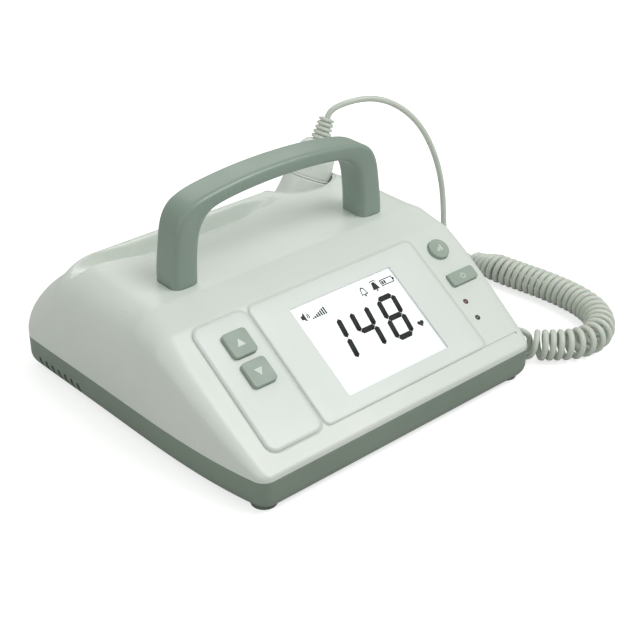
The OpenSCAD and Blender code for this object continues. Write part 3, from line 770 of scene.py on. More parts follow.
def rod(name: str, start: Sequence[float], end: Sequence[float], radius: float,
        sides: int = 40) -> bpy.types.Object:
    """Makes a straight round rod between two points, used as a cutter.

    Args:
        name: the object's name.
        start: centre of one end.
        end: centre of the other end.
        radius: its radius.
        sides: points round it.

    Returns:
        The object.
    """
    return loft(name, tube_rings(np.array([start, end], dtype=float), radius, sides))


def join(name: str, parts: Sequence[bpy.types.Object]) -> bpy.types.Object:
    """Joins several objects' meshes into one new object.

    Args:
        name: name of the joined object.
        parts: the objects, which are removed.

    Returns:
        The new object.
    """
    points, faces, at = [], [], 0
    for part in parts:
        co = np.empty(len(part.data.vertices) * 3)
        part.data.vertices.foreach_get("co", co)
        points.append(co.reshape(-1, 3) / MM)
        faces += [[v + at for v in f.vertices] for f in part.data.polygons]
        at += len(part.data.vertices)
        mesh = part.data
        bpy.data.objects.remove(part)
        bpy.data.meshes.remove(mesh)
    return make_object(name, np.concatenate(points), faces)


# ---------------------------------------------------------------- camera, light, floor


@dataclass
class Studio:
    """Camera at the photograph's angle, soft lamps, a pale floor and a white surround."""

    camera_at: tuple[float, float, float] = (-0.4152, -0.5068, 0.4148)
    camera_turn: tuple[float, float, float] = (59.6, 0.0, -41.2)
    lens: float = 73.49
    lamps: tuple = (("key_lamp", (0.45, -0.6, 1.2), 0.8, 8.8),
                    ("fill_lamp", (-1.2, 0.25, 0.55), 0.9, 1.9),
                    ("rim_lamp", (0.5, 1.0, 0.9), 0.9, 2.2),
                    ("strip_lamp", (-0.55, -0.75, 0.95), 0.16, 0.3))
    ambient: float = 0.52
    floor_grey: str = "#CECECE"
    floor_lift: float = 0.68

    def build(self) -> None:
        """Sets the camera, lamps, world and floor."""
        self._camera()
        for lamp in self.lamps:
            self._lamp(*lamp)
        self._surround()
        self._floor()
        bpy.context.scene.view_settings.view_transform = "Standard"

    def _camera(self) -> None:
        """Places the camera that was fitted to the photograph."""
        lens = bpy.data.cameras.new("camera")
        lens.lens = self.lens
        lens.sensor_width = 36
        lens.sensor_fit = "HORIZONTAL"
        lens.clip_start = 0.01
        holder = bpy.data.objects.new("camera", lens)
        holder.location = self.camera_at
        holder.rotation_euler = Euler([math.radians(a) for a in self.camera_turn])
        bpy.context.scene.collection.objects.link(holder)
        bpy.context.scene.camera = holder

    def _lamp(self, name: str, at: tuple[float, float, float], size: float,
              power: float) -> None:
        """Adds a square soft lamp that faces the console.

        Args:
            name: the lamp's name.
            at: its place in metres.
            size: side of the lamp in metres.
            power: its power in watts.
        """
        light = bpy.data.lights.new(name, "AREA")
        light.shape = "SQUARE"
        light.size = size
        light.energy = power
        holder = bpy.data.objects.new(name, light)
        aim = np.array([0.0, 0.0, 0.05]) - np.array(at)
        flat = math.hypot(aim[0], aim[1])
        holder.location = at
        holder.rotation_euler = Euler((math.atan2(flat, -aim[2]), 0.0,
                                       math.atan2(-aim[0], aim[1])))
        bpy.context.scene.collection.objects.link(holder)

    def _surround(self) -> None:
        """White to the camera and in reflections, softer grey as a light."""
        world = bpy.data.worlds.new("studio")
        bpy.context.scene.world = world
        tree = clear_tree(world)
        ray = add_node(tree, "ShaderNodeLightPath")
        seen = add_node(tree, "ShaderNodeMath", {"operation": "MAXIMUM"},
                        {0: ray.outputs["Is Camera Ray"],
                         1: ray.outputs["Is Transmission Ray"]}).outputs[0]
        soft = add_node(tree, "ShaderNodeBackground", {},
                        {"Color": linear("#F1F6EF"), "Strength": self.ambient})
        white = add_node(tree, "ShaderNodeBackground", {},
                         {"Color": (1.0, 1.0, 1.0, 1.0), "Strength": 1.0})
        mixed = add_node(tree, "ShaderNodeMixShader", {},
                         {0: seen, 1: soft.outputs[0], 2: white.outputs[0]})
        add_node(tree, "ShaderNodeOutputWorld", {}, {"Surface": mixed.outputs[0]})

    def _floor(self) -> None:
        """A pale table top: a wide shallow sheet whose height is 0 all over."""
        side = np.linspace(-6000, 6000, 13)
        x, y = np.meshgrid(side, side)
        points = np.stack([x, y, np.full_like(x, -0.05)], axis=-1)
        floor = make_object("table_top", points, grid_faces(13, 13).tolist())
        made = bpy.data.materials.new("white_paper_sweep")
        tree = clear_tree(made)
        diffuse = add_node(tree, "ShaderNodeBsdfDiffuse", {},
                           {"Color": linear(self.floor_grey)})
        ray = add_node(tree, "ShaderNodeLightPath")
        lit = add_node(tree, "ShaderNodeEmission", {},
                       {"Color": (1.0, 1.0, 1.0, 1.0), "Strength": self.floor_lift})
        clear = add_node(tree, "ShaderNodeEmission", {},
                         {"Color": (0.0, 0.0, 0.0, 1.0), "Strength": 0.0})
        extra = add_node(tree, "ShaderNodeMixShader", {},
                         {0: ray.outputs["Is Camera Ray"], 1: clear.outputs[0],
                          2: lit.outputs[0]})
        both = add_node(tree, "ShaderNodeAddShader", {},
                        {0: diffuse.outputs[0], 1: extra.outputs[0]})
        add_node(tree, "ShaderNodeOutputMaterial", {}, {"Surface": both.outputs[0]})
        floor.data.materials.append(made)


# ---------------------------------------------------------------- the console's outer form


@dataclass
class ConsoleForm:
    """Plan and side view of the console, shared by its housings, cup and cutters."""

    front_half: float = 99.0
    spread: float = 13.3
    front_y: float = -104.0
    depth: float = 208.0
    seam: float = 20.0
    front_corner: float = 6.0
    rear_corner: float = 9.0
    shares: tuple = (0, 0.072, 0.149, 0.279, 0.423, 0.577, 0.721, 0.904, 1)
    bulges: tuple = (0, 0.225, 0.45, 0.652, 0.75, 0.825, 0.893, 0.976, 1)
    groove_span: tuple[float, float] = (-62.0, 10.0)
    ramp_left: float = 9.5
    ramp_right: float = 24.0
    drift_left: float = 10.0
    path_step: float = 0.2
    softness: float = 0.9

    def half_width(self, y: Array) -> Array:
        """Half width at y: a smooth quintic through the measured bulge, less round corners.

        Args:
            y: distances to the rear, in millimetres.

        Returns:
            Half widths.
        """
        share = (np.asarray(y, dtype=float) - self.front_y) / self.depth
        fit = np.polyfit(self.shares, self.bulges, 5)
        wide = self.front_half + self.spread * np.polyval(fit, share)
        near = np.clip(self.front_y + self.front_corner - y, 0, self.front_corner)
        far = np.clip(y - (self.front_y + self.depth - self.rear_corner), 0, self.rear_corner)
        return (wide - self.front_corner + np.sqrt(self.front_corner ** 2 - near ** 2)
                - self.rear_corner + np.sqrt(self.rear_corner ** 2 - far ** 2))

    def side_path(self) -> Array:
        """Side view without the groove: straight panel and deck, curved tail, soft corners.

        Returns:
            Points (y, z) from the front seam over the top to the rear seam.
        """
        front = np.array([[-104, 20], [-103.85, 22.89], [-28, 71.2], [-9, 78.0], [42, 78.0],
                          [58, 77.9]])
        tail = spline(np.array([[58, 77.9], [64.4, 77.5], [67, 76.6], [69.5, 74.2],
                                 [72.5, 71.0], [79, 65.2], [86, 59.8], [92.5, 54.2],
                                 [98, 47.6], [101.6, 39.5], [103.5, 29], [104, 20]]), 12)
        line = resample(np.concatenate([front, tail[1:]]), self.path_step)
        return soften(line, self.softness, self.path_step)

    def groove_path(self) -> Array:
        """The groove's own line: a rounded trough behind the deck.

        Returns:
            Points (y, z), from front to rear.
        """
        line = np.array([[62.6, 77.9], [61.2, 75.6], [59.6, 71], [57.4, 67], [54.5, 64.6],
                         [51.5, 65], [49.4, 68], [48, 72], [46.6, 75.4], [44.6, 77.4],
                         [42, 78.2]])[::-1]
        return spline(line, 10)

    def groove_depth(self, x: Array, y: Array) -> Array:
        """Height of the groove's skin: its trough, lifted past both ends of its level part.

        Past the left end the trough also drifts to the rear. The lift and the drift grow as
        tan(angle) * d, where d = (v + sqrt(v * v + 16)) / 2 rounds the distance v past the end.

        Args:
            x: sideways places.
            y: places to the rear, same shape.

        Returns:
            Heights; far above the housing where there is no groove.
        """
        left, right = ((v + np.sqrt(v * v + 16)) / 2 - 0.3
                       for v in (self.groove_span[0] - x, x - self.groove_span[1]))
        left, right = np.maximum(left, 0), np.maximum(right, 0)
        slope = [math.tan(math.radians(a))
                 for a in (self.ramp_left, self.ramp_right, self.drift_left)]
        path = self.groove_path()
        level = np.interp(y - slope[2] * left, path[:, 0], path[:, 1], left=99, right=99)
        return level + slope[0] * left + slope[1] * right

    def crest_and_fall(self, y: Array) -> tuple[Array, Array]:
        """Where the top starts to round down, and how far it falls to the side wall.

        Args:
            y: distances to the rear.

        Returns:
            The half width of the flat top, and the height of the rounding.
        """
        at = np.array([0, 20, 36, 60, 76, 90, 105, 140, 165, 190, 208]) + self.front_y
        crest = np.interp(y, at, [94.5, 96.4, 97.4, 97.6, 95.5, 91, 88.5, 88, 82, 83, 86])
        fall = np.interp(y, at, [2.5, 7, 9.5, 11, 14, 19.5, 24, 24.5, 29, 26, 24])
        return np.minimum(crest, self.half_width(y) - 1.5), fall

    def top(self, x: Array, y: Array) -> Array:
        """Height of the ungrooved outer surface.

        In the middle it is the side view's height z; past the crest c it is
        z - fall * (1 - sqrt(1 - s * s)), with s = (|x| - c) / (half width - c).

        Args:
            x: sideways places.
            y: places to the rear, same shape.

        Returns:
            Heights.
        """
        path = self.side_path()
        z = np.interp(y, path[:, 0], path[:, 1])
        crest, fall = self.crest_and_fall(y)
        fall = np.minimum(fall, 0.9 * (z - self.seam))
        s = np.clip((np.abs(x) - crest) / (self.half_width(y) - crest), 0, 1)
        return z - fall * (1 - np.sqrt(1 - s ** 2))


FORM = ConsoleForm()


# The probe's seam stands here, and its axis leans to the right
PROBE_AT = np.array([81.4, 72.0, 74.0])
PROBE_LEAN = math.radians(25)
PROBE_AXIS = np.array([math.sin(PROBE_LEAN), 0.0, math.cos(PROBE_LEAN)])


def probe_notch() -> bpy.types.Object:
    """Cutter of the notch that lets the leaning probe through a rim.

    Returns:
        A closed rod along the probe's axis.
    """
    return rod("cut", PROBE_AT - 12 * PROBE_AXIS, PROBE_AT + 60 * PROBE_AXIS, 15.2, 64)


# ---------------------------------------------------------------- housings


@dataclass
class UpperHousing:
    """White upper housing: panel, deck, rear groove, rounded shoulders and its openings."""

    wall: float = 2.5
    cup_x: float = 68.0
    cup_y: float = 72.0
    cup_bore: float = 27.4
    plates: tuple = ((DISPLAY_PLATE_X, 120.2, 4.1), (KEY_PLATE_X, 36.0, 6.1))
    plate_height: float = 78.1
    seat_flare: float = 1.3
    handle_x: float = 67.7
    handle_y: float = 7.0
    rows: int = 250

    def skin(self) -> bpy.types.Object:
        """The outer skin on a grid: rows follow the side view, columns run from left to right.

        A column on the wall is a share of the way from the seam to the start of the rounding;
        on the rounding it is an angle of an ellipse; on the top it is a share of the flat
        width. In the groove the height is the lower of the skin and the groove's form, joined
        by a soft minimum, so the groove fades out where it climbs over the skin.

        Returns:
            The open skin.
        """
        y = self._row_places()
        path = FORM.side_path()
        z = np.interp(y, path[:, 0], path[:, 1])
        z[0], z[-1] = FORM.seam, FORM.seam
        crest, fall = FORM.crest_and_fall(y)
        fall = np.minimum(fall, 0.9 * (z - FORM.seam))
        half = FORM.half_width(y)
        flat = np.concatenate([np.linspace(-1, -0.68, 14)[:-1], np.linspace(-0.68, 0.08, 16)[:-1],
                               np.linspace(0.08, 0.5, 26)[:-1], np.linspace(0.5, 1, 12)])
        turn = np.radians(np.linspace(90, 0, 18)[:-1])
        rise = np.linspace(0, 1, 6)[:-1]
        x_wall = np.repeat(half[:, None], len(rise), axis=1)
        z_wall = FORM.seam + rise[None] * (z - fall - FORM.seam)[:, None]
        x_round = crest[:, None] + (half - crest)[:, None] * np.sin(turn)[None]
        z_round = z[:, None] - fall[:, None] * (1 - np.cos(turn)[None])
        x_side = np.concatenate([x_wall, x_round], axis=1)
        z_side = np.concatenate([z_wall, z_round], axis=1)
        x_flat = crest[:, None] * flat[None]
        z_flat = np.repeat(z[:, None], len(flat), axis=1)
        xs = np.concatenate([-x_side, x_flat, x_side[:, ::-1]], axis=1)
        zs = np.concatenate([z_side, z_flat, z_side[:, ::-1]], axis=1)
        ys = np.repeat(y[:, None], xs.shape[1], axis=1)
        deep = FORM.groove_depth(xs, ys)
        soft = 1.0
        gap = np.clip(0.5 + 0.5 * (deep - zs) / soft, 0, 1)
        zs = deep * (1 - gap) + zs * gap - soft * gap * (1 - gap) * (deep < 98)
        points = np.stack([xs, ys, zs], axis=-1)
        return make_object("upper_shell", points,
                           grid_faces(points.shape[0], points.shape[1]).tolist())

    def _row_places(self) -> Array:
        """Row places in y: close together where the side view bends and in the groove.

        Returns:
            Increasing places from the front to the rear.
        """
        path = FORM.side_path()
        step = np.diff(path, axis=0)
        length = np.linalg.norm(step, axis=1)
        heading = np.unwrap(np.arctan2(step[:, 1], step[:, 0]))
        bend = np.abs(np.gradient(heading)) / FORM.path_step
        mid = (path[1:, 0] + path[:-1, 0]) / 2
        grooved = (mid > 41.5) & (mid < 69)
        near_front = mid < FORM.front_y + 6.5
        near_rear = mid > 93
        density = 0.3 + 9 * bend + 1.9 * grooved + 1.2 * near_front + 0.7 * near_rear
        total = np.concatenate([[0], np.cumsum(density * length)])
        at = np.interp(np.linspace(0, total[-1], self.rows), total, np.arange(len(total)))
        return np.interp(at, np.arange(len(path)), path[:, 0])

    def openings(self) -> list[bpy.types.Object]:
        """All the cutters: plate seats, display and key openings, well, notch and gap lines.

        Returns:
            Closed objects.
        """
        cutters = []
        for x, width, radius in self.plates:
            wider = np.array([0.0, 0.0, self.seat_flare, self.seat_flare])
            outline = rounded_outline(width + 2 * wider, self.plate_height + 2 * wider,
                                      radius + wider, 8) + [x, PLATE_MID]
            cutters.append(loft("cut", PANEL.place(raised(outline, (-1, -0.75, 0.05, 6)))))
        lcd = rounded_outline(78.3, 61.7, 2.2, 6)
        cutters.append(panel_prism("cut", lcd + DISPLAY_AT, -6, 4))
        cutters += arrow_openings(-6, 6)
        for t in LAMP_TS:
            cutters.append(panel_prism("cut", circle(1.7, 24) + [LAMP_X, t], -6, 5))
        cutters.append(panel_prism("cut", circle(6.75, 48) + ROUND_KEY_AT, -6, 6))
        cutters.append(panel_prism("cut", rounded_outline(20.5, 9.0, 2.05, 9) + POWER_KEY_AT,
                                   -6, 6))
        line = rounded_outline(144.7, 1.5, 0.7, 4) + [22.65, 9.8]
        cutters.append(panel_prism("cut", line, -0.7, 4))
        well = circle(self.cup_bore, 96) + [self.cup_x, self.cup_y]
        cutters.append(upright_prism("cut", well, 32, 110))
        cutters.append(probe_notch())
        for side in (-1, 1):
            cutters.append(self._gap_line(side))
        return cutters

    def _gap_line(self, side: int) -> bpy.types.Object:
        """A narrow closed channel in the deck round one leg of the handle.

        Args:
            side: -1 for the left leg and 1 for the right one.

        Returns:
            The cutter, a ring with a square section.
        """
        outer = rounded_outline(16.2, 20.8, 5.2, 8)
        inner = rounded_outline(14.8, 19.4, 4.6, 8)
        shift = np.array([side * self.handle_x, self.handle_y])
        points = raised(np.stack([outer, outer, inner, inner]) + shift, (77.1, 84, 84, 77.1))
        made = make_object("cut", points, grid_faces(4, len(outer), True, True).tolist())
        turn_outwards(made)
        return made

    def build(self) -> None:
        """Builds, cuts and dresses the upper housing."""
        shell = self.skin()
        give_wall(shell, self.wall)
        turn_outwards(shell)
        cut_out(shell, self.openings())
        finish_piece(shell, WHITE_ABS, "console", ["upper_housing"], 28)


@dataclass
class BaseHousing:
    """Grey-green base with a rounded lower edge, side vents, sockets and its underside."""

    wall: float = 2.5
    edge: float = 5.0
    seam_line: float = 0.35
    vents: int = 7
    vent_from: float = 48.1
    vent_pitch: float = 6.4
    vent_lean: float = 22.0
    vent_z: float = 7.6
    socket_y: float = -75.0
    port_z: float = 11.0
    rear_ports: tuple = (-55, -78)
    feet: tuple = ((90.1, -93), (-90.6, -93), (98, 89), (-98, 89))
    speaker_at: tuple = (-60, -30)
    hole_pitch: float = 5.5

    def outline(self, inset: Array) -> Array:
        """Plan outline moved inward: the half width less the inset, over a shrunken depth.

        The plan is followed by an angle whose sine and cosine give the place along the depth,
        so that points gather at the round corners.

        Args:
            inset: how far each ring lies inside the outer one.

        Returns:
            Rings by points by (x, y).
        """
        inset = np.asarray(inset, dtype=float)[:, None]
        turn = np.radians(np.linspace(0, 90, 14))
        near, far = FORM.front_corner, FORM.rear_corner
        front = FORM.front_y + near - near * np.cos(turn)
        rear = FORM.front_y + FORM.depth - far + far * np.sin(turn)
        y = np.concatenate([front, np.linspace(-97, 94, 56)[1:-1], rear])
        half = FORM.half_width(y)
        middle = (FORM.front_y * 2 + FORM.depth) / 2
        long = FORM.depth / 2
        ys = middle + (y[None] - middle) * (long - inset) / long
        xs = half[None] - inset
        across_rear = np.linspace(1, -1, 12)[1:-1][None]
        rear_x = xs[:, -1:] * across_rear
        rear_y = np.repeat(ys[:, -1:], 10, axis=1)
        front_x = -xs[:, :1] * across_rear
        front_y = np.repeat(ys[:, :1], 10, axis=1)
        x = np.concatenate([xs, rear_x, -xs[:, ::-1], front_x], axis=1)
        yy = np.concatenate([ys, rear_y, ys[:, ::-1], front_y], axis=1)
        return np.stack([x, yy], axis=-1)

    def skin(self) -> bpy.types.Object:
        """The outer skin: rings from the seam down the wall, round the edge, to a flat floor.

        Returns:
            The open skin, with a floor and no top.
        """
        turn = np.radians(np.linspace(0, 90, 9))
        level = np.concatenate([[20.0, 19.7, 19.3, 14.0], 9 - 7 * np.sin(turn)])
        inset = np.concatenate([[self.seam_line, self.seam_line, 0.0, 0.0],
                                self.edge * (1 - np.cos(turn))])
        return loft("base_shell", raised(self.outline(inset), level), cap_start=False)

    def openings(self) -> list[bpy.types.Object]:
        """Cutters: side vents, sockets, feet, battery opening, speaker holes.

        Returns:
            Closed objects.
        """
        cutters = []
        sin, cos = math.sin(math.radians(self.vent_lean)), math.cos(math.radians(self.vent_lean))
        ring = rounded_outline(2.6, 6.0, 1.2, 4)
        for i in range(self.vents):
            y = self.vent_from + self.vent_pitch * i
            across = ring[:, 0] * cos + ring[:, 1] * sin + y
            up = ring[:, 1] * cos - ring[:, 0] * sin + self.vent_z
            slot = [np.column_stack([np.full(len(ring), x), across, up])
                    for x in (-125.0, -101.0)]
            cutters.append(loft("cut", np.stack(slot)))
        y, z = self.socket_y, self.port_z
        cutters.append(rod("cut", (90, y, z), (125, y, z), 6.1))
        for x in self.rear_ports:
            cutters.append(rod("cut", (x, 94, z), (x, 125, z), 4.1))
        for x, y in self.feet:
            cutters.append(upright_prism("cut", circle(7.15) + [x, y], 1, 3))
        battery = rounded_outline(70.4, 68.4, 3.2) + [-5, 40]
        cutters.append(upright_prism("cut", battery, 0, 3.5))
        cutters.append(upright_prism("cut", rounded_outline(64, 46, 2) + [-5, 36], 0, 12))
        for ring in range(3):
            for k in range(max(6 * ring, 1)):
                turn = math.radians(60 * k / max(ring, 1))
                reach = self.hole_pitch * ring
                at = [self.speaker_at[0] + reach * math.cos(turn),
                      self.speaker_at[1] + reach * math.sin(turn)]
                cutters.append(upright_prism("cut", circle(1.3, 16) + at, 0, 12))
        return cutters

    def build(self) -> None:
        """Builds, cuts and dresses the base."""
        shell = self.skin()
        give_wall(shell, self.wall)
        turn_outwards(shell)
        cut_out(shell, self.openings())
        finish_piece(shell, BASE_ABS, "console", ["base_housing"], 28)


# ---------------------------------------------------------------- panel pieces


class Mark(Enum):
    """A plain printed sign on a key."""

    UP = "triangle up"
    DOWN = "triangle down"
    BARS = "three bars"
    POWER = "open ring with a bar"


@dataclass(frozen=True)
class Key:
    """One key: its place on the panel, the form of its cap and its printed sign.

    The node is also the name of the key's body. The top is the level of the cap's edge, edge is
    the radius of that edge, and dish is the depth of the hollow on the cap.
    """

    name: str
    node: str
    x: float
    t: float
    width: float
    height: float
    corner: float
    top: float
    edge: float
    dish: float
    mark: Mark


KEYS = (Key("up_cap", "up_key", ARROW_X, ARROW_TS[1], 15.1, 15.1, 2.2, 3.7, 0.5, 0.2, Mark.UP),
        Key("down_cap", "down_key", ARROW_X, ARROW_TS[0], 15.1, 15.1, 2.2, 3.7, 0.5, 0.2,
            Mark.DOWN),
        Key("round_cap", "mode_key", *ROUND_KEY_AT, 13, 13, 6.5, 2.2, 0.6, 0.2, Mark.BARS),
        Key("power_cap", "power_key", *POWER_KEY_AT, 20, 8.5, 1.8, 2.0, 0.45, 0.15, Mark.POWER))


@dataclass
class FrontPanel:
    """Raised plates, keys with their printed marks, and lamps."""

    height: float = 77.9
    bezel_top: float = 0.5
    key_plate_top: float = 1.2

    def plates(self) -> None:
        """The display plate with its opening, and the plate of the two arrow keys."""
        bezel = panel_pad("display_plate", DISPLAY_PLATE_X, PLATE_MID,
                          pad_rings(120, self.height, 4, -1, self.bezel_top, 1.3, arc=9))
        opening = rounded_outline(74.3, 57.7, 0.6, 5) + DISPLAY_AT
        cut_out(bezel, [panel_prism("cut", opening, -3, 3)])
        finish_piece(bezel, PLATE_ABS, "console", ["display_bezel"])
        plate = panel_pad("key_plate", KEY_PLATE_X, PLATE_MID,
                          pad_rings(35.8, self.height, 6, -1, self.key_plate_top, 1.7, arc=10))
        cut_out(plate, arrow_openings(-3, 4))
        finish_piece(plate, PLATE_ABS, "console", ["key_panel"])

    def key(self, key: Key) -> None:
        """Builds one key: a dished pad on a wide flange, and its sign.

        Args:
            key: its description.
        """
        arc = 12 if key.corner > 3 else 8
        cap = panel_pad(key.name, key.x, key.t,
                        pad_rings(key.width, key.height, key.corner, -2.9, key.top, key.edge,
                                  key.dish, arc))
        flange = panel_pad("flange", key.x, key.t,
                           pad_rings(key.width + 3, key.height + 3, key.corner + 1.5, -3.75,
                                     -2.55, 0.2, arc=arc))
        finish_piece(join(key.name, [cap, flange]), KEY_ABS, key.node, [key.node])
        sign = join(key.name + "_mark", self._sign(key))
        finish_piece(sign, KEY_INK, key.node)

    def _sign(self, key: Key) -> list[bpy.types.Object]:
        """The flat shapes of a key's sign, a little proud of the cap.

        Args:
            key: the key.

        Returns:
            Thin closed shapes.
        """
        mark, x, t = key.mark, key.x, key.t
        level = key.top - key.dish * 0.94
        low, high = level - 0.15, level + 0.1
        if mark in (Mark.UP, Mark.DOWN):
            flip = 1 if mark is Mark.UP else -1
            corner = np.array([[-2.6, -2.0], [2.6, -2.0], [0, 2.5]]) * [1, flip]
            corner = corner[::flip]
            line = resample(np.concatenate([corner, corner[:1]]), 0.3)[:-1]
            return [panel_prism("mark", line + [x, t], low, high)]
        if mark is Mark.BARS:
            return [panel_prism("mark", rounded_outline(0.8, h, 0.25, 3)
                                + [x + d, t - 1.8 + h / 2], low, high)
                    for d, h in ((-1.5, 1.9), (0, 2.9), (1.5, 3.9))]
        turn = np.radians(np.linspace(125, 415, 30))
        ring = np.stack([np.cos(turn), np.sin(turn)], axis=-1)
        outline = np.concatenate([1.75 * ring, 1.3 * ring[::-1]])
        bar = rounded_outline(0.45, 2.1, 0.2, 3) + [0, 1.35]
        return [panel_prism("mark", outline + [x, t - 0.1], low, high),
                panel_prism("mark", bar + [x, t - 0.1], low, high)]

    def lamps(self) -> None:
        """Two small signal lamps with domed ends."""
        for name, node, t, finish, slot in (
                ("upper_lamp", "alarm_lamp", LAMP_TS[0], RED_EPOXY, "lamp_red"),
                ("lower_lamp", "charge_lamp", LAMP_TS[1], GREEN_EPOXY, "lamp_green")):
            turn = np.radians(np.linspace(0, 84, 8))
            radius = np.concatenate([[2.3, 2.3, 1.5, 1.5], 1.5 * np.cos(turn[1:])])
            level = np.concatenate([[-8.8, -7.8, -7.8, -0.4], -0.4 + 0.8 * np.sin(turn[1:])])
            rings = raised(circle(1.0, 28)[None] * radius[:, None, None], level)
            finish_piece(panel_pad(name, LAMP_X, t, rings), finish, "console", [node])

    def build(self) -> None:
        """Builds the panel pieces."""
        self.plates()
        for key in KEYS:
            self.key(key)
        self.lamps()


@dataclass
class Display:
    """What the lit display shows: the number 148, small plain signs and a battery."""

    level: float = -0.96
    thick: float = 0.08
    slant: float = 0.143
    digit_height: float = 25.3
    digit_width: float = 10.8
    digit_foot: float = 36.9
    stroke: float = 3.3

    def _flat(self, outline: Array) -> bpy.types.Object:
        """A thin prism on the display glass.

        Args:
            outline: points (x, t), anticlockwise.

        Returns:
            The object.
        """
        return panel_prism("ink", outline, self.level, self.level + self.thick)

    def _segment(self, start: Sequence[float], end: Sequence[float]) -> Array:
        """A segment between two places: a bar with pointed ends, slanted with the digits.

        Args:
            start: (u, v) of one end, v measured up from the digit's foot.
            end: the other end.

        Returns:
            Outline points before the digit's place is added.
        """
        a, b = np.array(start, dtype=float), np.array(end, dtype=float)
        along = (b - a) / np.linalg.norm(b - a)
        side = np.array([-along[1], along[0]]) * self.stroke / 2
        a, b = a + along * 0.3, b - along * 0.3
        tip = along * self.stroke * 0.42
        line = np.array([a, a + tip - side, b - tip - side, b, b - tip + side, a + tip + side])
        line[:, 0] += self.slant * line[:, 1]
        return line

    def digits(self) -> None:
        """Seven-segment digits 1, 4 and 8 in one piece of ink."""
        half = self.digit_height / 2
        wide = self.digit_width
        segment = {"a": ((0, 2 * half), (wide, 2 * half)), "b": ((wide, 2 * half), (wide, half)),
                   "c": ((wide, half), (wide, 0)), "d": ((0, 0), (wide, 0)),
                   "e": ((0, half), (0, 0)), "f": ((0, 2 * half), (0, half)),
                   "g": ((0, half), (wide, half))}
        parts = []
        for foot_x, lit in ((-18.0, "bc"), (2.3, "bcfg"), (22.9, "abcdefg")):
            for name in lit:
                line = self._segment(*segment[name])
                parts.append(self._flat(line[:, :2] + [foot_x, self.digit_foot]))
        finish_piece(join("display_digits", parts), LCD_INK, "console")

    def signs(self) -> None:
        """Small signs: sound, rising bars, two bells, battery and a heart."""
        parts = [self._flat(np.array([[-23.4, 69.2], [-22.2, 69.2], [-20.6, 67.4],
                                      [-20.6, 73.4], [-22.2, 71.6], [-23.4, 71.6]]))]
        for radius in (1.4, 2.4):
            turn = np.radians(np.linspace(-42, 42, 9))
            ring = np.stack([np.cos(turn), np.sin(turn)], axis=-1)
            arc = np.concatenate([(radius + 0.25) * ring, (radius - 0.25) * ring[::-1]])
            parts.append(self._flat(arc + [-20.6, 70.4]))
        for i in range(7):
            h = 0.9 + 0.62 * i
            parts.append(self._flat(rounded_outline(0.95, h, 0.1, 2)
                                    + [-16.6 + 1.55 * i, 67.4 + h / 2]))
        parts += self._bell(22.0, 70.4, hollow=True) + self._bell(31.0, 70.6, hollow=False)
        for w, h, dx, dy in ((9.4, 0.55, 0, 1.75), (9.4, 0.55, 0, -1.75), (0.55, 3.6, -4.4, 0),
                             (0.55, 3.6, 4.4, 0), (0.8, 1.6, 5.1, 0), (1.1, 2.2, -3.1, 0),
                             (1.1, 2.2, -1.5, 0)):
            parts.append(self._flat(rounded_outline(w, h, 0.1, 2) + [40.2 + dx, 70.9 + dy]))
        turn = np.linspace(0, 2 * math.pi, 40, endpoint=False)
        heart = np.stack([2.2 * np.sin(turn) ** 3,
                          (13 * np.cos(turn) - 5 * np.cos(2 * turn) - 2 * np.cos(3 * turn)
                           - np.cos(4 * turn)) * 0.14], axis=-1)
        parts.append(self._flat(heart[::-1] + [42.2, 39.6]))
        finish_piece(join("display_signs", parts), LCD_INK, "console")

    def _bell(self, x: float, t: float, hollow: bool) -> list[bpy.types.Object]:
        """A small bell, solid or as an outline.

        Args:
            x: sideways place.
            t: place up the slope.
            hollow: True for an outline.

        Returns:
            Its thin parts.
        """
        turn = np.radians(np.linspace(0, 180, 11))
        dome = np.stack([1.6 * np.cos(turn), 0.7 + 2.2 * np.sin(turn)], axis=-1)
        shape = np.concatenate([[[-2.4, -2.0], [2.4, -2.0]], dome])
        clapper = circle(0.6, 12) + [x, t - 2.7]
        parts = [self._flat(clapper)]
        if not hollow:
            wave = np.stack([np.cos(turn[3:8]), np.sin(turn[3:8])], axis=-1)
            arc = np.concatenate([4.0 * wave, 3.5 * wave[::-1]])
            return parts + [self._flat(shape + [x, t]), self._flat(arc + [x, t])]
        inner = shape * 0.72
        high = self.level + self.thick
        points = raised(np.stack([shape, shape, inner, inner]) + [x, t],
                        (self.level, high, high, self.level))
        outline = make_object("ink", PANEL.place(points),
                              grid_faces(4, len(shape), True, True).tolist())
        turn_outwards(outline)
        return parts + [outline]

    def build(self) -> None:
        """Builds all the lit segments."""
        self.digits()
        self.signs()


# ---------------------------------------------------------------- handle


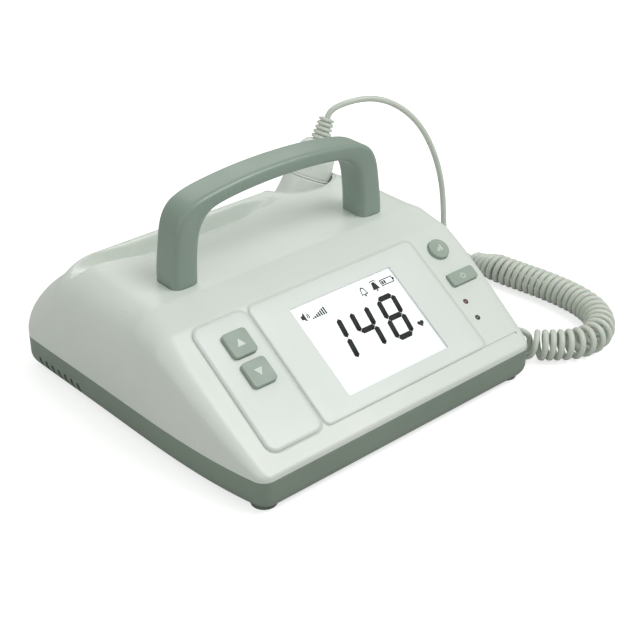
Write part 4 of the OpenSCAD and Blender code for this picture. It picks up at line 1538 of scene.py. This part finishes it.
@dataclass
class CarryHandle:
    """Fixed carry handle: a rounded-rectangle section carried over an arch."""

    half: float = 75.3
    foot_z: float = 78.0
    tall: float = 52.8
    deep: float = 19.8
    corner: float = 3.3
    y: float = 7.0
    sunk: float = 0.9
    stations: int = 121
    outer: tuple = ((1, 0), (0.996, 0.152), (0.975, 0.379), (0.956, 0.56), (0.926, 0.7),
                    (0.87, 0.812), (0.785, 0.877), (0.688, 0.916), (0.55, 0.948),
                    (0.35, 0.98), (0.17, 0.995), (0, 1))
    inner: tuple = ((59.5, 0), (59, 12), (58, 22), (56.4, 29.5), (53.4, 34.8), (48.8, 38.8),
                    (42, 41), (30, 42.6), (15, 43.6), (0, 44))

    def build(self) -> None:
        """Builds and dresses the handle.

        The outer and inner outlines are followed at the same share of their lengths; each
        station's section is a rounded rectangle as wide as the distance between them.
        """
        outer = np.array(self.outer) * [self.half, self.tall] + [0, self.foot_z]
        inner = np.array(self.inner) + [0, self.foot_z]
        both = []
        for line in (outer, inner):
            half = soften(resample(spline(line, 10), 0.5), 1.2, 0.5)
            whole = np.concatenate([half, half[-2::-1] * [-1, 1]])
            both.append(resample(whole, count=self.stations))
        middle, reach = (both[0] + both[1]) / 2, (both[0] - both[1]) / 2
        thick = 2 * np.linalg.norm(reach, axis=1)
        unit = reach / np.linalg.norm(reach, axis=1, keepdims=True)
        section = rounded_outline(thick, np.full(len(thick), self.deep),
                                  np.minimum(self.corner, 0.46 * thick), 8)
        x = middle[:, None, 0] + section[..., 0] * unit[:, None, 0]
        z = middle[:, None, 1] + section[..., 0] * unit[:, None, 1]
        rings = np.stack([x, self.y + section[..., 1], z], axis=-1)
        foot = rings[:1] - [0, 0, self.sunk]
        end = rings[-1:] - [0, 0, self.sunk]
        arch = loft("handle_arch", np.concatenate([foot, rings, end]))
        finish_piece(arch, HANDLE_ABS, "console", ["carry_handle"], 40)


# ---------------------------------------------------------------- cup and probe


def revolve(name: str, profile: Array, sides: int) -> bpy.types.Object:
    """Turns a profile round the probe's axis: at + z * axis + r * (cos a * side + sin a * Y).

    Args:
        name: the object's name.
        profile: points (r, z), from one pole or rim to the other.
        sides: points round the axis.

    Returns:
        The closed object.
    """
    side = np.array([PROBE_AXIS[2], 0.0, -PROBE_AXIS[0]])
    turn = np.linspace(0, 2 * math.pi, sides, endpoint=False)
    spoke = (np.cos(turn)[:, None] * side + np.sin(turn)[:, None] * np.array([0.0, 1.0, 0.0]))
    rings = (PROBE_AT + profile[:, 1][:, None, None] * PROBE_AXIS
             + np.maximum(profile[:, 0], 0.02)[:, None, None] * spoke[None])
    return loft(name, rings)


@dataclass
class Probe:
    """Handheld probe standing in its cup: handle, seam ring, flared head and ribbed relief."""

    neck: float = 14.4
    head: float = 21.0
    relief_foot: float = 23.4
    relief_long: float = 14.6
    ribs_from: float = 24.4
    ribs_to: float = 37.6
    rib_pitch: float = 2.9
    rib_share: float = 0.74

    def build(self) -> None:
        """Builds and dresses the probe's pieces."""
        n = self.neck
        handle = spline(np.array([[n - 0.3, 0.75], [n - 0.05, 1.6], [n - 0.4, 5],
                                   [n - 1.1, 12], [n - 1.9, 16], [n - 3.6, 19.4],
                                   [n - 5.6, 22], [7.6, 23.1], [5.6, 23.5]]), 8)
        handle = np.concatenate([[[n - 0.9, 0.5]], handle, [[0.5, 23.5]]])
        finish_piece(revolve("probe_grip", handle, 80), PROBE_ABS, "probe",
                     ["probe_handle"], 40)
        ring = np.array([[2, -0.6], [n - 0.3, -0.6], [n + 0.15, -0.45], [n + 0.3, 0],
                         [n + 0.15, 0.45], [n - 0.3, 0.6], [2, 0.6]])
        # The seam ring's lighter colour is a painted highlight along the seam.
        finish_piece(revolve("probe_seam", ring, 80), SEAM_ABS_PAINTED_HIGHLIGHT, "probe",
                     ["probe_ring"], 50)
        head = spline(np.array([[n - 0.2, -0.75], [n + 0.3, -1.8], [n + 0.8, -6],
                                 [n + 1.6, -12], [n + 2.9, -18], [n + 5, -23],
                                 [self.head - 0.3, -27], [self.head, -29],
                                 [self.head - 0.4, -30.6], [self.head - 1.5, -31.3]]), 8)
        head = np.concatenate([[[0.5, -0.6]], head, [[self.head - 4.5, -31.3],
                                                     [self.head - 4.5, -26.3],
                                                     [0.5, -26.3]]])
        finish_piece(revolve("probe_flare", head, 80), PROBE_ABS, "probe",
                     ["probe_head"], 40)
        self._relief()

    def _relief(self) -> None:
        """The ribbed relief: a taper whose radius rises at each of five ribs."""
        foot, first, filled = self.relief_foot, self.ribs_from, self.rib_share
        z = np.linspace(foot, foot + self.relief_long, 90)
        core = 4.6 - 1.1 * (z - foot) / self.relief_long
        count = (z - first) / self.rib_pitch
        rib = 6.3 - 0.3 * count
        phase = count % 1.0
        inside = (phase < filled) & (z > first) & (z < self.ribs_to)
        wave = np.where(inside, np.sin(np.pi * np.clip(phase / filled, 0, 1)) ** 0.22, 0)
        radius = core + (rib - core) * wave
        profile = np.concatenate([[[0.5, foot]], np.stack([radius, z], axis=-1), [[2.2, 38.2]],
                                  [[0.5, 38.2]]])
        finish_piece(revolve("probe_relief_ribs", profile, 48), CORD_PVC, "probe",
                     ["probe_relief"], 55)


@dataclass
class Cup:
    """Round cup in the housing's well, with its rim following the housing's top."""

    x: float = 68.0
    y: float = 72.0
    bore: float = 25.5
    wall: float = 1.8
    low: float = 32.0

    def build(self) -> None:
        """Builds and dresses the cup: a turned profile whose rim height is the housing's.

        At each angle the profile's share 0 to 1 runs from the floor to the rim, and the rim
        stands 0.3 mm over the housing.
        """
        turn = np.linspace(0, 2 * math.pi, 144, endpoint=False)
        outer = self.bore + self.wall
        rim_x = self.x + outer * np.cos(turn)
        rim_y = self.y + outer * np.sin(turn)
        rim = FORM.top(rim_x, rim_y) + 0.3
        profile = np.array([[0.3, 0.0, 0], [outer - 0.6, 0.0, 0], [outer, 0.6, 0],
                            [outer, 0, 1], [outer - 0.25, 0.45, 1], [outer - 0.9, 0.7, 1],
                            [self.bore + 0.2, 0.45, 1], [self.bore, 0, 1],
                            [self.bore, 0, 0.5], [self.bore, 4.0, 0],
                            [self.bore - 1.2, 2.4, 0], [self.bore - 2.5, 2.0, 0],
                            [0.3, 2.0, 0]])
        base = self.low + profile[:, 1]
        height = base[:, None] + profile[:, 2][:, None] * (rim[None] - 0.7 - self.low)
        rings = np.stack([self.x + profile[:, 0][:, None] * np.cos(turn)[None],
                          self.y + profile[:, 0][:, None] * np.sin(turn)[None], height],
                         axis=-1)
        cup = loft("probe_cup_liner", rings)
        cut_out(cup, [probe_notch()])
        # The liner's darker colour is painted shade of the well.
        finish_piece(cup, CUP_ABS_PAINTED_SHADE, "console", ["probe_cup"], 35)


# ---------------------------------------------------------------- cord


@dataclass
class Cord:
    """The probe's cord: a straight end, then 34 curls on the table, ending in its plug."""

    diameter: float = 3.8
    mean: float = 7.6
    turns: int = 34
    lead: float = 20.0
    per_turn: int = 18
    table_z: float = 2.1
    plug_z: float = 11.0
    straight: tuple = ((97.6, 72, 108.75), (100, 71.6, 113.4), (108, 69, 116.5),
                       (125, 63, 118.5), (142, 57, 112), (157, 51, 98), (168, 48, 79),
                       (176, 46.5, 58), (180, 46, 38), (181, 45.5, 20), (181, 44, 7),
                       (181, 40, 2.1), (181, 34.2, 2.1))
    curled: tuple = ((172.5, 8), (172.3, -3), (172, -14), (174.5, -29), (178, -50), (179, -68),
                     (177, -86), (169, -101), (156, -109.5), (145, -110.8), (134.5, -107.8),
                     (126, -101.5), (119.5, -95.8), (114.8, -91.6), (113.6, -87.3),
                     (114.8, -82.5), (117.8, -78.3), (119.2, -76), (118.2, -75.1),
                     (115.8, -75), (112.5, -75))

    def route(self) -> Array:
        """Centre points from the probe to the plug.

        The curls are a helix round the curled line that lies on the table; the first few widen
        to the full radius, and the phase grows with the length of the line's inner edge, so
        the curls stay apart in a bend.

        Returns:
            Points in millimetres.
        """
        straight = spline(np.array(self.straight, dtype=float), 8, through=False)
        line = spline(np.array(self.curled, dtype=float), 12, through=False)
        step = np.diff(line, axis=0)
        length = np.linalg.norm(step, axis=1)
        at = np.concatenate([[0], np.cumsum(length)])
        turned = step[:-1, 0] * step[1:, 1] - step[:-1, 1] * step[1:, 0]
        bend = np.zeros(len(step))
        bend[1:-1] = np.arcsin(np.abs(turned[:-1]) / length[:-2] / length[1:-1]) / length[1:-1]
        inner = np.concatenate([[0], np.cumsum(length * np.maximum(0.2, 1 - self.mean * bend))])
        end = at[-1] - self.lead
        inner_end = np.interp(end, at, inner)
        phase = np.linspace(0, 1, self.per_turn * self.turns + 1)
        s = np.interp(inner_end * phase, inner, at)
        angle = np.radians(-90 + 360 * self.turns * phase)
        widen = (1 - np.cos(np.pi * np.minimum(s / 24, 1))) / 2
        size = self.mean * (0.62 + 0.38 * widen)
        rest = self.diameter / 2 + 0.1
        curls = self._round(line, at, s, size + rest, size, angle)
        u = np.arange(1, 17) / 16
        ease = (1 - np.cos(np.pi * u)) / 2
        last = angle[-1] + np.radians(288 * u)
        level = self.mean + rest
        out = self._round(line, at, end + (self.lead - self.diameter) * u,
                          level + (self.plug_z - level) * ease, self.mean * (1 - ease), last)
        turn = np.radians([-10, -21, -32, -43, -54, -64, -74])
        low = self.table_z
        lead_in = np.column_stack([172.5 + 7.3 * np.cos(turn), 15.3 + 7.3 * np.sin(turn),
                                   np.full(len(turn), low)])
        return np.concatenate([straight, [[181, 30, low], [180.95, 26, low], [180.7, 22, low],
                                          [180.2, 18.5, low]], lead_in, curls, out,
                               [[112.8, -75, self.plug_z]]])

    def _round(self, line: Array, at: Array, s: Array, level: Any, radius: Any,
               angle: Array) -> Array:
        """Points round the curled line: place plus radius times a circle square to it.

        Args:
            line: the curled line.
            at: its running length.
            s: lengths at which the points lie.
            level: height of the circle's middle.
            radius: the circle's radius.
            angle: the angle on the circle.

        Returns:
            The points.
        """
        def place(q: Array) -> Array:
            """Gives the line's points at running lengths.

            Args:
                q: the running lengths.

            Returns:
                Points (x, y).
            """
            return np.stack([np.interp(q, at, line[:, k]) for k in (0, 1)], axis=-1)

        centre = place(s)
        ahead = place(np.minimum(s + 1.5, at[-1])) - place(np.maximum(s - 1.5, 0))
        ahead /= np.linalg.norm(ahead, axis=1, keepdims=True)
        reach = radius * np.cos(angle)
        return np.column_stack([centre[:, 0] + reach * ahead[:, 1],
                                centre[:, 1] - reach * ahead[:, 0],
                                level + radius * np.sin(angle)])

    def build(self) -> None:
        path = self.route()
        tube = loft("probe_cord", tube_rings(path, self.diameter / 2, 10))
        tube.data.materials.append(CORD_PVC.material())
        shade(tube, 60)
        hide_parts("straight_cord", "curly_cord")
        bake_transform(tube)


# ---------------------------------------------------------------- CAD nodes


def dress(node: str, finish: Finish) -> None:
    """Gives a CAD node that stays in view its finish.

    Args:
        node: the node's name.
        finish: its finish.
    """
    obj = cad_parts[node]
    for slot in obj.material_slots:
        slot.material = finish.material()
    if not obj.material_slots:
        obj.data.materials.append(finish.material())


@dataclass
class InnerParts:
    """CAD nodes that keep their form, each with the finish of what it is made of."""

    finishes: dict = field(default_factory=lambda: {
        "display_window": CLEAR_ACRYLIC, "lcd_glass": LCD_WHITE, "lcd_backlight": LCD_WHITE,
        "main_board": BOARD_RESIST, "key_board": BOARD_RESIST, "board_screws": PLATED_STEEL,
        "left_switches": BLACK_NYLON, "right_switches": BLACK_NYLON, "speaker": BLACK_NYLON,
        "battery_pack": SHRINK_WRAP, "battery_cover": BASE_ABS, "cover_screw": PLATED_STEEL,
        "case_screws": PLATED_STEEL, "handle_screws": PLATED_STEEL, "cup_pad": PAD_FOAM,
        "probe_face": FACE_SILICONE, "probe_crystal": CRYSTAL_CERAMIC,
        "cord_plug": CORD_PVC, "plug_relief": CORD_PVC, "cord_socket": BLACK_NYLON,
        "power_inlet": BLACK_NYLON, "phone_socket": BLACK_NYLON,
        "foot_front_left": FOOT_RUBBER, "foot_front_right": FOOT_RUBBER,
        "foot_rear_left": FOOT_RUBBER, "foot_rear_right": FOOT_RUBBER})

    def build(self) -> None:
        """Dresses each node."""
        for node, finish in self.finishes.items():
            dress(node, finish)
            LOG.info("%s keeps its form, finish %s", node, finish.name)


def dress_hidden() -> None:
    """Gives the CAD nodes that a finished piece stands for the same kind of finish."""
    for node, finish in {"upper_housing": WHITE_ABS, "base_housing": BASE_ABS,
                         "display_bezel": PLATE_ABS, "key_panel": PLATE_ABS,
                         "up_key": KEY_ABS, "down_key": KEY_ABS, "mode_key": KEY_ABS,
                         "power_key": KEY_ABS, "alarm_lamp": RED_EPOXY,
                         "charge_lamp": GREEN_EPOXY, "carry_handle": HANDLE_ABS,
                         "probe_cup": CUP_ABS_PAINTED_SHADE, "probe_handle": PROBE_ABS,
                         "probe_ring": SEAM_ABS_PAINTED_HIGHLIGHT, "probe_head": PROBE_ABS,
                         "probe_relief": CORD_PVC, "straight_cord": CORD_PVC,
                         "curly_cord": CORD_PVC}.items():
        dress(node, finish)


def main() -> None:
    """Builds the studio and every sub-assembly in order."""
    for part in (Studio(), Cord(), UpperHousing(), BaseHousing(), FrontPanel(), Display(),
                 CarryHandle(), Cup(), Probe(), InnerParts()):
        LOG.info("building %s", type(part).__name__)
        part.build()
    dress_hidden()


if __name__ == "__main__":
    main()
